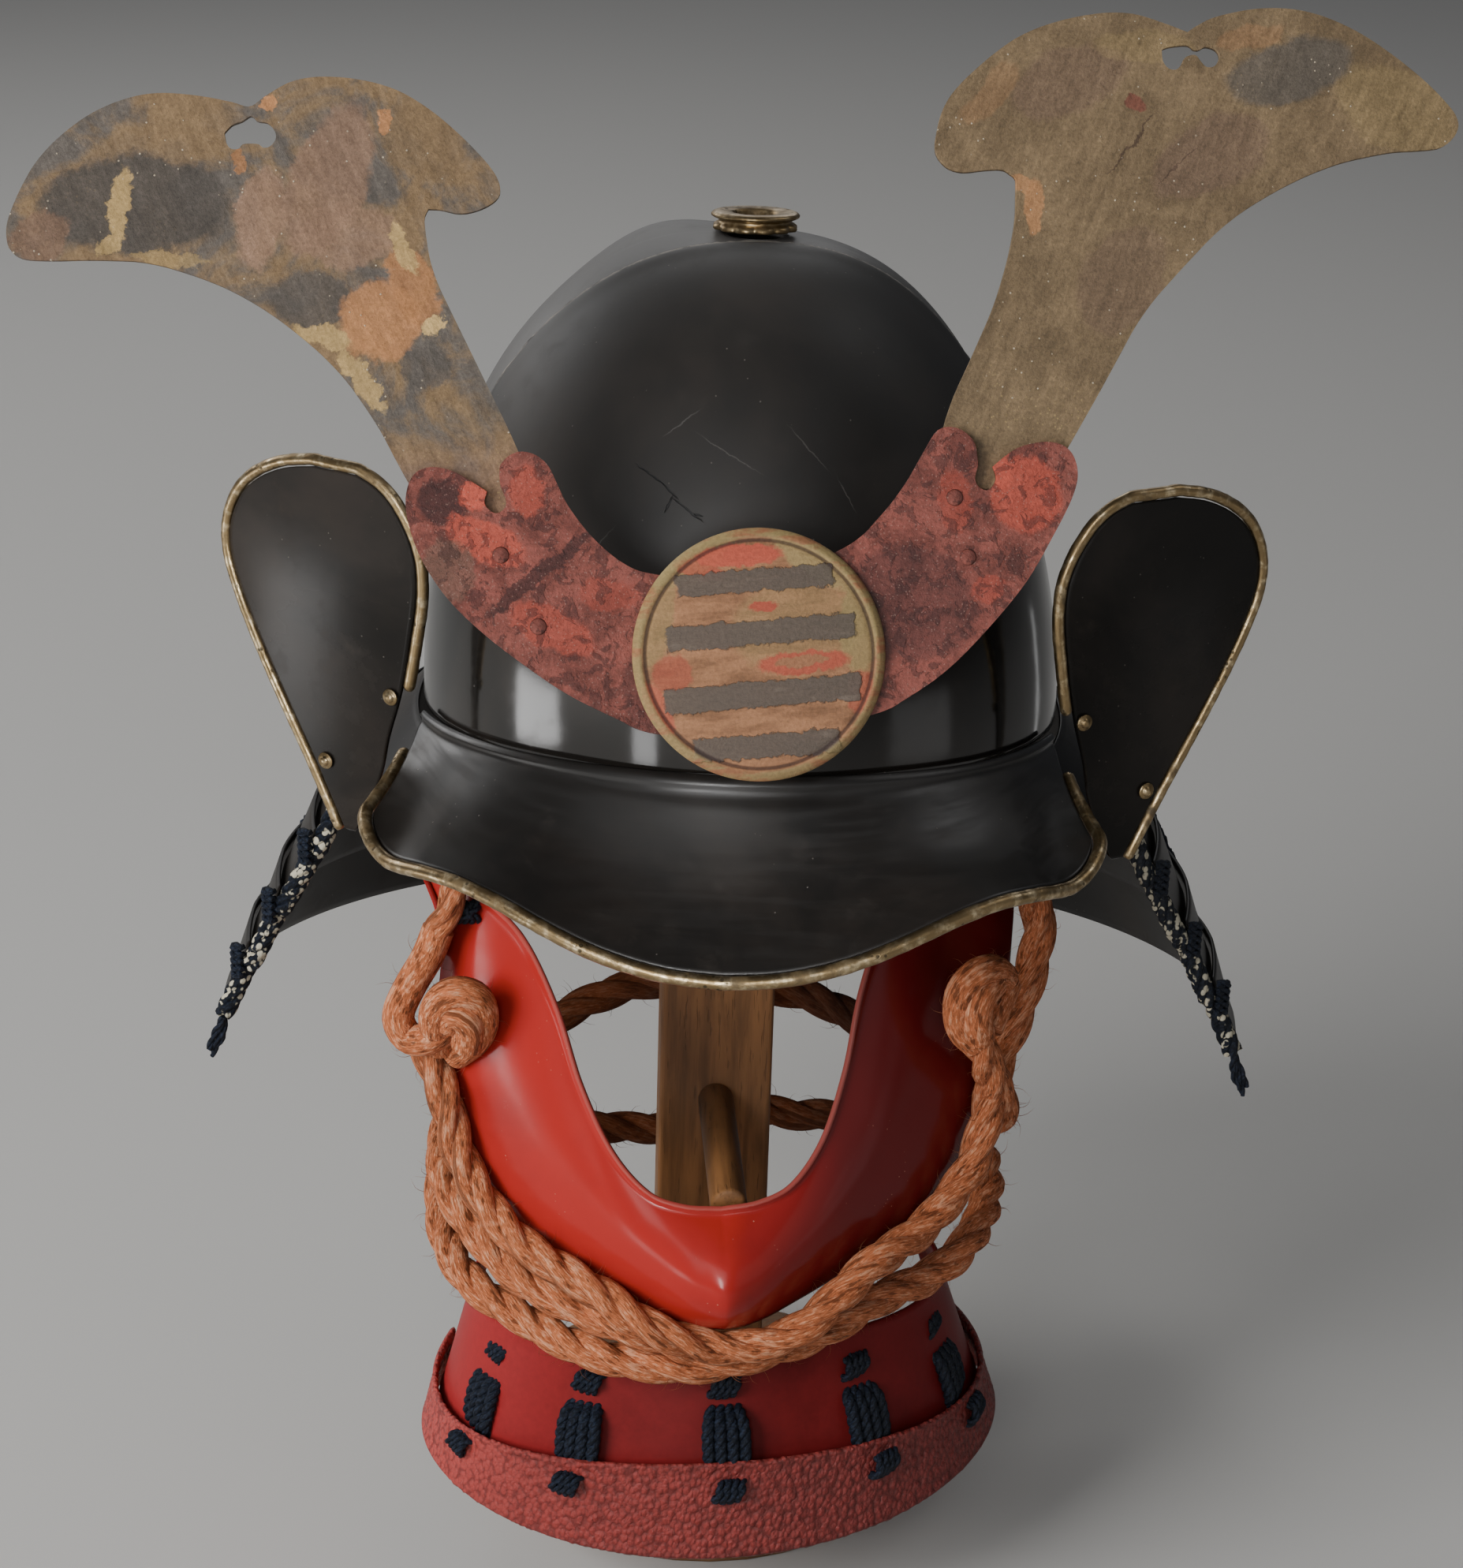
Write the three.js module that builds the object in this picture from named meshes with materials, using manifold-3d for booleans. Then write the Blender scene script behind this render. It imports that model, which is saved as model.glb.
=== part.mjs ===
/*
 * A samurai helmet and its half face guard, tied together with the chin cord,
 * on a plain wooden stand.
 *
 * Millimetres, +Z up, the front looks along -Y, and the origin lies on the floor
 * in the middle of the stand. "Left" and "right" are as seen from the front.
 * The helmet, the face guard and the crest each have a frame of their own,
 * because the helmet sits slightly turned on its post.
 */
import * as THREE from 'three';
import { mergeVertices } from 'three/addons/utils/BufferGeometryUtils.js';
import Module from 'manifold-3d';

const wasm = await Module();
wasm.setup();

const { sin, cos, abs, max, min, sqrt, PI } = Math;
const DEG = PI / 180;
const GAP = 0.3; // air left between pieces that touch

// ---------------------------------------------------------------- driving sizes

const HELMET = { right: 4.7, rimHeight: 327, turn: -4.8 * DEG };
const GUARD = { right: -12.5, turn: 2 * DEG, lean: -2.3 * DEG };

const BOWL = {
  halfWidth: 110, front: 118, back: 128, height: 163, wall: 2,
  frontRise: 20, fullness: 0.84, apexBack: 8, holeRadius: 10, lopside: 4, crownTilt: 0.11,
  plateHalfWidth: 46, plateStep: 1.3,
};
// the swelling of the crown behind and left of its ring
const LOBE = { rise: 5.5, x: -36, y: 36, wide: 24, deep: 30 };
const TEHEN = { radius: 16.6, height: 6, hole: 7.5, petals: 12, petalDepth: 1.2, tilt: -7 * DEG, lift: 0.9 };

const BRIM = { wall: 1.8, spread: 70 * DEG, proud: 3, seat: 2, sag: 5, corner: 0.9 };
const BRIM_PLAN = { middle: -60, halfWidth: 126, front: 105, spread: 70 * DEG };
// height of the brim's lower edge by its share of the way from the middle to the corner
const BRIM_EDGE = [
  { share: 0.0, z: -25.5 }, { share: 0.12, z: -24.3 }, { share: 0.25, z: -20.5 },
  { share: 0.36, z: -15.5 }, { share: 0.48, z: -10.2 }, { share: 0.6, z: -8 },
  { share: 0.72, z: -9.8 }, { share: 0.86, z: -13.2 }, { share: 1.0, z: -9 },
];
const RIM_RADIUS = 2.3; // brass edging of the brim
const EAR_RIM_RADIUS = 2; // brass edging of the turned-back plates

// the turned-back plates: reach of the inner and outer edge across, by height
const EAR = { inner: 112, front: -64, turn: 30 * DEG, bow: 4, wall: 1.8 };
const EAR_ROWS = [
  { z: -31, from: 16.5, to: 20.5 }, { z: -22, from: 12, to: 25 }, { z: -8, from: 6.5, to: 32.5 },
  { z: 6, from: 3.5, to: 41 }, { z: 20, from: -0.5, to: 49.8 }, { z: 32, from: -3, to: 57.2 },
  { z: 44, from: -5, to: 64 }, { z: 54, from: -6.5, to: 68.5 }, { z: 62, from: -6.9, to: 69.8 },
  { z: 70, from: -6.3, to: 68.2 }, { z: 78, from: -3.8, to: 63.8 }, { z: 84, from: -0.6, to: 58 },
  { z: 89, from: 3, to: 50.5 }, { z: 93, from: 8, to: 41.5 }, { z: 95.5, from: 14, to: 31 },
];
const RIVET = { radius: 3, height: 1.6 };
const EAR_RIVETS = { upper: { across: 1.8, z: 21 }, lower: { across: 27.5, z: -7.5 } };

// neck guard: how far out from the bowl's rim and how far below it each lame runs
const LAMES = [
  { topOut: 2.5, topDrop: 2, lowOut: 24.3, lowDrop: 25, start: 68 },
  { topOut: 24.5, topDrop: 20, lowOut: 38, lowDrop: 48, start: 75.6 },
  { topOut: 39.5, topDrop: 43, lowOut: 50.5, lowDrop: 71, start: 76.5 },
  { topOut: 52, topDrop: 66, lowOut: 61.5, lowDrop: 94, start: 78 },
  { topOut: 63, topDrop: 89, lowOut: 72, lowDrop: 117, start: 79.5 },
];
const LAME = { wall: 1.4, rearDrop: 0.36 };
const LACE = { wide: 9, thick: 1.6, lift: 0.4, columns: [104, 129, 154, 180, 206, 231, 256] };
const BRAID = { radius: 4.6, startOut: 5, tail: [5, 1, -18] };

// crest: a disc over two forked arms that hold the tall flat horns
const CREST = { x: 0, y: -140, z: 397.9, tiltBack: 25 * DEG, roll: 5 * DEG };
const PLATE = { horn: 2.5, arm: 2.5 };
const DISC = { radius: 38.6, edge: 2.6, dome: 1.8 };
const HOOK = { wide: 12, thick: 3.5, reach: 25.2, drop: 10 };
// one row for each knot of a horn's outline, across and up from the disc's middle;
// the two horns are cut by hand and differ a little
const HORN_KNOTS = [
  { at: 'root', left: [62, 46], right: [60, 46] },
  { at: 'inner edge', left: [67.6, 68], right: [63.5, 67] },
  { at: 'inner edge', left: [80.7, 102.6], right: [81, 100] },
  { at: 'inner edge', left: [88.5, 124], right: [89.5, 123] },
  { at: 'inner corner', left: [90, 139.4], right: [91.7, 139.3], corner: true },
  { at: 'inner lobe', left: [88, 143.6], right: [87.1, 142.8] },
  { at: 'inner lobe', left: [77.4, 141.3], right: [74, 143] },
  { at: 'inner lobe', left: [67.5, 144.9], right: [68.1, 148.3] },
  { at: 'inner lobe', left: [67, 151.5], right: [68.6, 155.5] },
  { at: 'inner lobe', left: [73.4, 161], right: [73, 165.5] },
  { at: 'inner lobe', left: [84.4, 172.6], right: [83.5, 175] },
  { at: 'inner lobe', left: [96.5, 181], right: [98, 183.8] },
  { at: 'inner lobe', left: [111.9, 185.4], right: [115.5, 188] },
  { at: 'inner lobe', left: [126.2, 185.2], right: [132, 187.7] },
  { at: 'cusp', left: [139.6, 178.5], right: [148.8, 180.8], corner: true },
  { at: 'outer lobe', left: [152.6, 182.3], right: [157, 184.6] },
  { at: 'outer lobe', left: [166.7, 184.5], right: [172, 186.5] },
  { at: 'outer lobe', left: [178.6, 183], right: [186.6, 184.5] },
  { at: 'outer lobe', left: [190.8, 177.9], right: [200.9, 177.8] },
  { at: 'outer lobe', left: [203.5, 168], right: [214.8, 167] },
  { at: 'outer lobe', left: [212, 155.5], right: [226.2, 155.2] },
  { at: 'outer tip', left: [215.7, 145], right: [231, 146.3] },
  { at: 'outer tip', left: [211.5, 137.6], right: [225, 139.6] },
  { at: 'lower edge', left: [192, 135.7], right: [209.9, 139.2] },
  { at: 'lower edge', left: [175.6, 133.8], right: [192.3, 136.8] },
  { at: 'lower edge', left: [161.8, 129.1], right: [174.5, 130.8] },
  { at: 'lower edge', left: [148.1, 122.1], right: [156.4, 121.2] },
  { at: 'lower edge', left: [134, 111.3], right: [140.4, 107.7] },
  { at: 'lower edge', left: [120, 96.5], right: [126.9, 94.1] },
  { at: 'lower edge', left: [109.5, 79], right: [114.3, 75.6] },
  { at: 'lower edge', left: [101.6, 61.1], right: [101.5, 57] },
  { at: 'root', left: [92, 44], right: [92, 44], corner: true },
];
const HORN_HOLES = { left: { x: 140.3, y: 169, inner: 4.6, outer: 4.4 }, right: { x: 148.8, y: 172.6, inner: 4.8, outer: 4 } };
// the same for the forked red arms, from the disc outwards
const ARM_KNOTS = [
  { at: 'upper edge', left: [8, 23.5], right: [8, 24], corner: true },
  { at: 'upper edge', left: [29.5, 27], right: [30, 30.9] },
  { at: 'upper edge', left: [38.8, 31.2], right: [41.7, 40.1] },
  { at: 'upper edge', left: [47.6, 40], right: [49.8, 49.1] },
  { at: 'upper edge', left: [54.5, 51], right: [57, 59.5] },
  { at: 'inner fork', left: [59.5, 63.3], right: [61.2, 64.3] },
  { at: 'inner fork', left: [66.9, 67.4], right: [66.9, 64] },
  { at: 'inner fork', left: [73.2, 64], right: [71.4, 59.5] },
  { at: 'inner fork', left: [73.8, 57.6], right: [72, 52.4], corner: true },
  { at: 'notch', left: [72.5, 51.8], right: [70.7, 47.3] },
  { at: 'notch', left: [75.8, 49.2], right: [74, 44.4] },
  { at: 'notch', left: [79.1, 52.3], right: [77.3, 47.5] },
  { at: 'notch', left: [78, 56], right: [76.6, 51.6], corner: true },
  { at: 'outer fork', left: [87, 62.6], right: [84.5, 56.6] },
  { at: 'outer fork', left: [94.6, 64.8], right: [94, 57.8] },
  { at: 'outer fork', left: [100.3, 62.2], right: [100.4, 54.9] },
  { at: 'outer fork', left: [102.9, 53.5], right: [102.5, 48] },
  { at: 'lower edge', left: [100.5, 40], right: [100.2, 40.3] },
  { at: 'lower edge', left: [93.5, 26], right: [93.1, 28.7] },
  { at: 'lower edge', left: [83.4, 14], right: [83.3, 15] },
  { at: 'lower edge', left: [71.5, 3], right: [70, 1.5] },
  { at: 'lower edge', left: [58.8, -7.2], right: [56.9, -9.5] },
  { at: 'lower edge', left: [45.1, -15.5], right: [44.1, -16.9] },
  { at: 'lower edge', left: [33.6, -21.3], right: [34, -20.9] },
  { at: 'lower edge', left: [8, -25], right: [8, -25], corner: true },
];

// half face guard: from the middle of the chin out to the ear
const MASK = { wall: 2 };
const MASK_ROWS = [
  { openX: 0, openY: -100, openZ: -149, lowX: 0, lowY: -107, lowZ: -193, bulge: 16 },
  { openX: 13, openY: -99.5, openZ: -147.5, lowX: 9, lowY: -106, lowZ: -192, bulge: 12 },
  { openX: 25.5, openY: -96, openZ: -143, lowX: 21, lowY: -101, lowZ: -189.5, bulge: 8 },
  { openX: 37, openY: -87, openZ: -131, lowX: 40, lowY: -90, lowZ: -183, bulge: 6.5 },
  { openX: 46, openY: -74, openZ: -112, lowX: 62, lowY: -73, lowZ: -172, bulge: 6 },
  { openX: 53, openY: -61, openZ: -88, lowX: 81, lowY: -52, lowZ: -155, bulge: 6 },
  { openX: 63, openY: -48, openZ: -68, lowX: 94, lowY: -32, lowZ: -126, bulge: 5 },
  { openX: 76, openY: -36, openZ: -58, lowX: 100, lowY: -16, lowZ: -95, bulge: 3 },
  { openX: 88, openY: -24, openZ: -54, lowX: 102, lowY: -6, lowZ: -66, bulge: 1 },
];

// throat guard: half width, reach to the front and height of each lame's edges
const THROAT = { middle: -30, wall: 2, reach: 112 * DEG };
const THROAT_LAMES = {
  upper: { topX: 82, topY: 64, topZ: -209, topSide: 8, lowX: 95, lowY: 77, lowZ: -252, lowSide: 6 },
  lower: { topX: 102, topY: 81, topZ: -246, topSide: 11, lowX: 107, lowY: 84, lowZ: -283, lowSide: -7 },
};
const THROAT_LACE = { wide: 13, thick: 3.4, angles: [-64, -33, 0, 33, 65] };

// chin cord: the routes of its stretches are in the stand's frame
const CORD = { radius: 6, sides: 6 };
const CORD_ROUTES = {
  fromHelmet: [[-90, -34, 338], [-91, -38, 300], [-95, -41, 268], [-101, -39, 253], [-104, -36, 240]],
  jaw: [
    [-105, -42, 212], [-98, -52, 196], [-93, -59, 178], [-85, -68, 165], [-73, -81, 155],
    [-59, -92, 148], [-44, -102, 143], [-26, -110, 134], [-5, -109, 126], [12, -109, 127],
    [28, -107, 134], [49, -94, 148], [66, -79, 154], [77, -69, 160], [88, -58, 170],
    [93, -50, 182], [98, -38, 199], [105, -29, 213], [111, -22, 231], [113, -17, 247],
    [108, -20, 263], [101, -24, 283], [94, -26, 338],
  ],
  neck: [
    [-4, 64, 116], [-34, 60, 119], [-66, 46, 128], [-88, 24, 137], [-99, -4, 138],
    [-99, -32, 129], [-90, -57, 120], [-74, -74, 117], [-50, -94, 114], [-28, -103, 112],
    [-5, -105, 112], [29, -99, 118], [54, -86, 122], [73, -73, 122], [87, -61, 128],
    [98, -34, 139], [100, -6, 144], [92, 24, 140], [68, 48, 131], [36, 61, 124], [6, 65, 128],
  ],
  behind: [
    [-12, -104, 122], [-30, -103, 128], [-50, -93, 131], [-70, -79, 137], [-85, -62, 144],
    [-97, -40, 152], [-99, -16, 157], [-92, 14, 160], [-72, 40, 166], [-50, 52, 176],
    [-24, 60, 182], [4, 64, 178], [34, 60, 178], [58, 48, 172], [82, 26, 164], [98, 0, 160],
    [103, -22, 170], [100, -38, 186], [93, -51, 206], [87, -57, 222],
  ],
};
// the knots' turns, each a short bent stretch of the same rope
const KNOT_TURNS = [
  [[-104, -36, 240], [-113, -33, 231], [-117, -34, 219], [-112, -38, 210], [-105, -42, 212]],
  [[-105, -42, 212], [-97, -51, 222], [-92, -54, 234], [-99, -49, 243], [-104, -36, 240]],
  [[-108, -40, 228], [-101, -46, 226], [-95, -56, 220], [-89, -59, 228]],
  [[87, -57, 222], [80, -59, 232], [84, -57, 243], [94, -50, 243], [98, -46, 233]],
  [[98, -46, 233], [91, -54, 226], [84, -60, 218], [84, -60, 208]],
];

// stand
const POST = { wide: 41, deep: 22, front: -6 };
const BASE = { radius: 80, middle: 22, thick: 15, chamfer: 3 };
const SADDLE = { radius: 62, thick: 14, top: 455, chamfer: 4 };
const PEG = { radius: 6.5, height: 169.5, tip: -92, rise: 5 };

// ---------------------------------------------------------------------- finishes

const FINISH = {
  lacquer: { color: '#1b1a19', roughness: 0.32, metalness: 0 },
  brass: { color: '#8d7a4e', roughness: 0.42, metalness: 1 },
  hornLeft: { color: '#5d564b', roughness: 0.62, metalness: 0.15 },
  hornRight: { color: '#5a5142', roughness: 0.62, metalness: 0.15 },
  arm: { color: '#8c2f2a', roughness: 0.7, metalness: 0 },
  disc: { color: '#b08a5c', roughness: 0.7, metalness: 0 },
  iron: { color: '#2a2622', roughness: 0.5, metalness: 0.6 },
  vermilion: { color: '#b8352b', roughness: 0.28, metalness: 0 },
  maroon: { color: '#7c2a2a', roughness: 0.5, metalness: 0 },
  pebbled: { color: '#9c4545', roughness: 0.62, metalness: 0 },
  navy: { color: '#141a26', roughness: 0.9, metalness: 0 },
  cord: { color: '#c77f4a', roughness: 0.9, metalness: 0 },
  wood: { color: '#8a6a3e', roughness: 0.7, metalness: 0 },
};

// ----------------------------------------------------------------- small helpers

const vec = (x, y, z) => new THREE.Vector3(x, y, z);
const mix = (a, b, t) => a + (b - a) * t;

/** Smooth value of a column of a table at t in 0..1 of its rows, or of a key column. */
function column(rows, name, t) {
  const last = rows.length - 1;
  const place = min(max(t, 0), 1) * last;
  const k = min(Math.floor(place), last - 1);
  const f = place - k;
  const at = (i) => rows[min(max(i, 0), last)][name];
  const before = k > 0 ? at(k - 1) : 2 * at(0) - at(1);
  const after = k + 2 <= last ? at(k + 2) : 2 * at(last) - at(last - 1);
  const [b, c] = [at(k), at(k + 1)];
  const slope = (c - before) / 2;
  const next = (after - b) / 2;
  return b + slope * f + (3 * (c - b) - 2 * slope - next) * f * f
    + (2 * (b - c) + slope + next) * f * f * f;
}

/** Place among a table's rows, 0..1, where its rising key column has this value. */
function rowAt(rows, key, value) {
  const last = rows.length - 1;
  let k = 0;
  while (k < last - 1 && rows[k + 1][key] < value) k += 1;
  const [a, b] = [rows[k][key], rows[k + 1][key]];
  return (k + (value - a) / (b - a)) / last;
}

/** One closed body: shared corners merged, slivers dropped, faces outwards. */
function closed(geometry) {
  geometry.deleteAttribute('normal');
  geometry.deleteAttribute('uv');
  const merged = mergeVertices(geometry, 1e-4);
  const p = merged.getAttribute('position');
  const index = Array.from(merged.index.array);
  const kept = [];
  let volume = 0;
  for (let i = 0; i < index.length; i += 3) {
    const [a, b, c] = index.slice(i, i + 3);
    if (a === b || b === c || a === c) continue;
    kept.push(a, b, c);
    const [va, vb, vc] = [a, b, c].map((k) => new THREE.Vector3().fromBufferAttribute(p, k));
    volume += va.dot(vb.cross(vc));
  }
  if (volume < 0) kept.reverse();
  merged.setIndex(kept);
  merged.computeVertexNormals();
  return merged;
}

/** Outward unit normal of a sheet: across x up. */
function sheetNormal(sheet, u, v, loop) {
  const step = 1e-3;
  const [u0, u1] = loop ? [u - step, u + step] : [max(0, u - step), min(1, u + step)];
  const [v0, v1] = [max(0, v - step), min(1, v + step)];
  const across = sheet(u1, v).sub(sheet(u0, v));
  const up = sheet(u, v1).sub(sheet(u, v0));
  return across.cross(up).normalize();
}

/** A wall laid inside a sheet(u, v) whose u runs across and v runs up; loop joins u = 1 to u = 0. */
function shell(sheet, { across, up, wall, loop = false }) {
  const columns = loop ? across : across + 1;
  const skin = [[], []];
  for (let j = 0; j <= up; j += 1) {
    for (let i = 0; i < columns; i += 1) {
      const [u, v] = [i / across, j / up];
      const outside = sheet(u, v);
      const normal = sheetNormal(sheet, u, v, loop);
      skin[0].push(outside);
      skin[1].push(outside.clone().addScaledVector(normal, -wall));
    }
  }
  const id = (side, i, j) => side * skin[0].length + j * columns + (i % columns);
  const faces = [];
  const quad = (a, b, c, d) => faces.push(a, b, c, a, c, d);
  for (let i = 0; i < across; i += 1) {
    for (let j = 0; j < up; j += 1) {
      quad(id(0, i, j), id(0, i + 1, j), id(0, i + 1, j + 1), id(0, i, j + 1));
      quad(id(1, i, j), id(1, i, j + 1), id(1, i + 1, j + 1), id(1, i + 1, j));
    }
    quad(id(0, i + 1, 0), id(0, i, 0), id(1, i, 0), id(1, i + 1, 0));
    quad(id(0, i, up), id(0, i + 1, up), id(1, i + 1, up), id(1, i, up));
  }
  for (let j = 0; j < up && !loop; j += 1) {
    quad(id(0, 0, j), id(0, 0, j + 1), id(1, 0, j + 1), id(1, 0, j));
    quad(id(0, across, j + 1), id(0, across, j), id(1, across, j), id(1, across, j + 1));
  }
  const geometry = new THREE.BufferGeometry().setFromPoints([...skin[0], ...skin[1]]);
  geometry.setIndex(faces);
  return closed(geometry);
}

/** Places for a bar just outside a sheet's edge, walked with the sheet on the left hand. */
function besideEdge(sheet, walk, wall, radius) {
  return walk.map(([u, v], k) => {
    const ahead = sheet(...walk[min(k + 1, walk.length - 1)]);
    const along = ahead.sub(sheet(...walk[max(k - 1, 0)])).normalize();
    const normal = sheetNormal(sheet, u, v, false);
    const out = along.cross(normal).normalize();
    return sheet(u, v).addScaledVector(normal, -wall / 2).addScaledVector(out, radius + 2 * GAP);
  });
}

/** The same sheet on the left side. */
const mirrored = (sheet) => (u, v) => sheet(1 - u, v).multiply(vec(-1, 1, 1));

/** A round bar along a smooth line through the points. */
function bar(points, radius, { sides = 8, steps }) {
  const turn = Array.from({ length: sides }, (_, k) => (k + 0.5) * 2 * PI / sides);
  const section = new THREE.Shape(turn.map((a) => new THREE.Vector2(radius * cos(a), radius * sin(a))));
  const extrudePath = new THREE.CatmullRomCurve3(points, false, 'centripetal');
  return closed(new THREE.ExtrudeGeometry(section, { steps, extrudePath, bevelEnabled: false }));
}

/** A flat strap along the points: its width lies along `side`, its thickness across it. */
function strap(points, sideOf, wide, thick) {
  const corners = [];
  points.forEach((point, k) => {
    const along = points[min(k + 1, points.length - 1)].clone().sub(points[max(k - 1, 0)]).normalize();
    const side = sideOf(k).clone().normalize();
    const out = side.clone().cross(along).normalize();
    for (const [s, t] of [[-0.5, 0], [0.5, 0], [0.5, 1], [-0.5, 1]]) {
      corners.push(point.clone().addScaledVector(side, s * wide).addScaledVector(out, t * thick));
    }
  });
  const faces = [];
  for (let k = 0; k + 1 < points.length; k += 1) {
    for (let c = 0; c < 4; c += 1) {
      const [a, b] = [4 * k + c, 4 * k + (c + 1) % 4];
      faces.push(a, b, b + 4, a, b + 4, a + 4);
    }
  }
  const end = corners.length - 4;
  faces.push(0, 2, 1, 0, 3, 2, end, end + 1, end + 2, end, end + 2, end + 3);
  const geometry = new THREE.BufferGeometry().setFromPoints(corners);
  geometry.setIndex(faces);
  return closed(geometry);
}

/** Joins closed bodies into one. */
function joined(geometries) {
  const solids = geometries.map((geometry) => new wasm.Manifold(new wasm.Mesh({
    numProp: 3,
    vertProperties: Float32Array.from(geometry.getAttribute('position').array),
    triVerts: Uint32Array.from(geometry.index.array),
  })));
  const mesh = solids.reduce((sum, solid) => sum.add(solid)).getMesh();
  const geometry = new THREE.BufferGeometry();
  geometry.setAttribute('position', new THREE.BufferAttribute(Float32Array.from(mesh.vertProperties), 3));
  geometry.setIndex(Array.from(mesh.triVerts));
  return closed(geometry);
}

/** A turned body: the profile's points are [radius, height], and it stands along +Z. */
function turned(profile, segments) {
  const points = profile.map(([r, h]) => new THREE.Vector2(r, h));
  return closed(new THREE.LatheGeometry(points, segments).rotateX(PI / 2));
}

/** Adds a named piece with a finish of its own to a group. */
function piece(group, name, geometry, finish) {
  const mesh = new THREE.Mesh(geometry, new THREE.MeshStandardMaterial(FINISH[finish]));
  mesh.name = name;
  group.add(mesh);
  return mesh;
}

const SIDES = [{ name: 'left', sign: -1 }, { name: 'right', sign: 1 }];

// -------------------------------------------------------------------------- bowl

/** Height of the bowl's rim: raised over the brow, level at the sides and back. */
const rimZ = (angle) => BOWL.frontRise * max(0, cos(angle)) ** 1.3;

/** Point of the rim's plan, an egg, pushed outwards; angles run from the front to the right. */
function rimPlan(angle, out) {
  const depth = cos(angle) > 0 ? BOWL.front : BOWL.back;
  return vec((BOWL.halfWidth + out) * sin(angle), -(depth + out) * cos(angle), 0);
}

/** The bowl's outside: angle around, and rise from 0 at the rim to 1 at the hole. */
function bowlPoint(angle, rise) {
  const top = Math.acos((BOWL.holeRadius / BOWL.halfWidth) ** (1 / BOWL.fullness));
  const climb = rise * top;
  const shrink = cos(climb) ** BOWL.fullness;
  const p = rimPlan(angle, 0).multiplyScalar(shrink);
  const plate = cos(angle) > 0 ? 1 - THREE.MathUtils.smoothstep(abs(p.x), BOWL.plateHalfWidth - 3, BOWL.plateHalfWidth) : 0;
  const raised = 1 + plate * BOWL.plateStep / BOWL.front;
  p.multiplyScalar(raised);
  p.y += BOWL.apexBack * sin(climb) ** 2;
  p.x -= BOWL.lopside * sin(2 * climb) ** 2;
  p.z = mix(rimZ(angle), BOWL.height, sin(climb));
  p.z += BOWL.crownTilt * (BOWL.apexBack - p.y) * sin(climb) ** 6;
  p.z += LOBE.rise * Math.exp(-(((p.x - LOBE.x) / LOBE.wide) ** 2 + ((p.y - LOBE.y) / LOBE.deep) ** 2));
  return p;
}

function makeBowl(group) {
  const sheet = (u, v) => bowlPoint(u * 2 * PI, v);
  piece(group, 'bowl', shell(sheet, { across: 36, up: 9, wall: BOWL.wall, loop: true }), 'lacquer');
}

function makeTehenRing(group) {
  const { radius, height, hole, petals, petalDepth } = TEHEN;
  const rings = [
    { r: radius, z: 0 }, { r: radius + 0.6, z: 1.4 }, { r: radius - 2.5, z: 2.6 },
    { r: radius - 3.6, z: 3.4 }, { r: radius - 2.4, z: height - 1.4 }, { r: radius - 3.4, z: height },
    { r: hole, z: height - 0.4 }, { r: hole, z: 0 },
  ];
  const around = petals * 2;
  const points = [];
  rings.forEach(({ r, z }, k) => {
    for (let i = 0; i < around; i += 1) {
      const a = i * 2 * PI / around;
      const reach = k < 2 && i % 2 ? r - petalDepth : r;
      points.push(vec(reach * sin(a), -reach * cos(a), z));
    }
  });
  const faces = [];
  rings.forEach((_, k) => {
    for (let i = 0; i < around; i += 1) {
      const next = (i + 1) % around;
      const [a, b] = [k * around + i, k * around + next];
      const above = ((k + 1) % rings.length) * around;
      faces.push(a, b, above + next, a, above + next, above + i);
    }
  });
  const geometry = new THREE.BufferGeometry().setFromPoints(points);
  geometry.setIndex(faces);
  const ring = piece(group, 'tehen_ring', closed(geometry), 'brass');
  ring.position.set(0, BOWL.apexBack, BOWL.height + TEHEN.lift);
  ring.rotation.x = TEHEN.tilt;
}

// -------------------------------------------------------------------------- brim

/** Brim sheet: u from the left corner to the right one, v from the lower edge up to the bowl. */
function brimPoint(u, v) {
  const share = 2 * u - 1;
  const angle = share * BRIM.spread;
  const top = rimPlan(angle, BRIM.proud);
  top.z = rimZ(angle) + BRIM.seat;
  const turn = share * BRIM_PLAN.spread;
  const edge = rowAt(BRIM_EDGE, 'share', abs(share));
  const low = vec(
    BRIM_PLAN.halfWidth * sin(turn),
    BRIM_PLAN.middle - BRIM_PLAN.front * cos(turn),
    column(BRIM_EDGE, 'z', edge),
  );
  const p = low.lerp(top, v);
  const dip = BRIM.sag * sin(PI * v) * (1 - 0.5 * share ** 2);
  return p.add(vec(-dip * 0.5 * sin(angle), dip * 0.5 * cos(angle), -dip * 0.8));
}

/** The brim with its two lower corners rounded off. */
function roundedBrimPoint(u, v) {
  const share = abs(2 * u - 1);
  const near = max(0, (share - BRIM.corner) / (1 - BRIM.corner));
  const trim = 0.09 * (1 - sqrt(max(0, 1 - near ** 2)));
  return brimPoint(u, mix(trim, 1, v));
}

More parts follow.
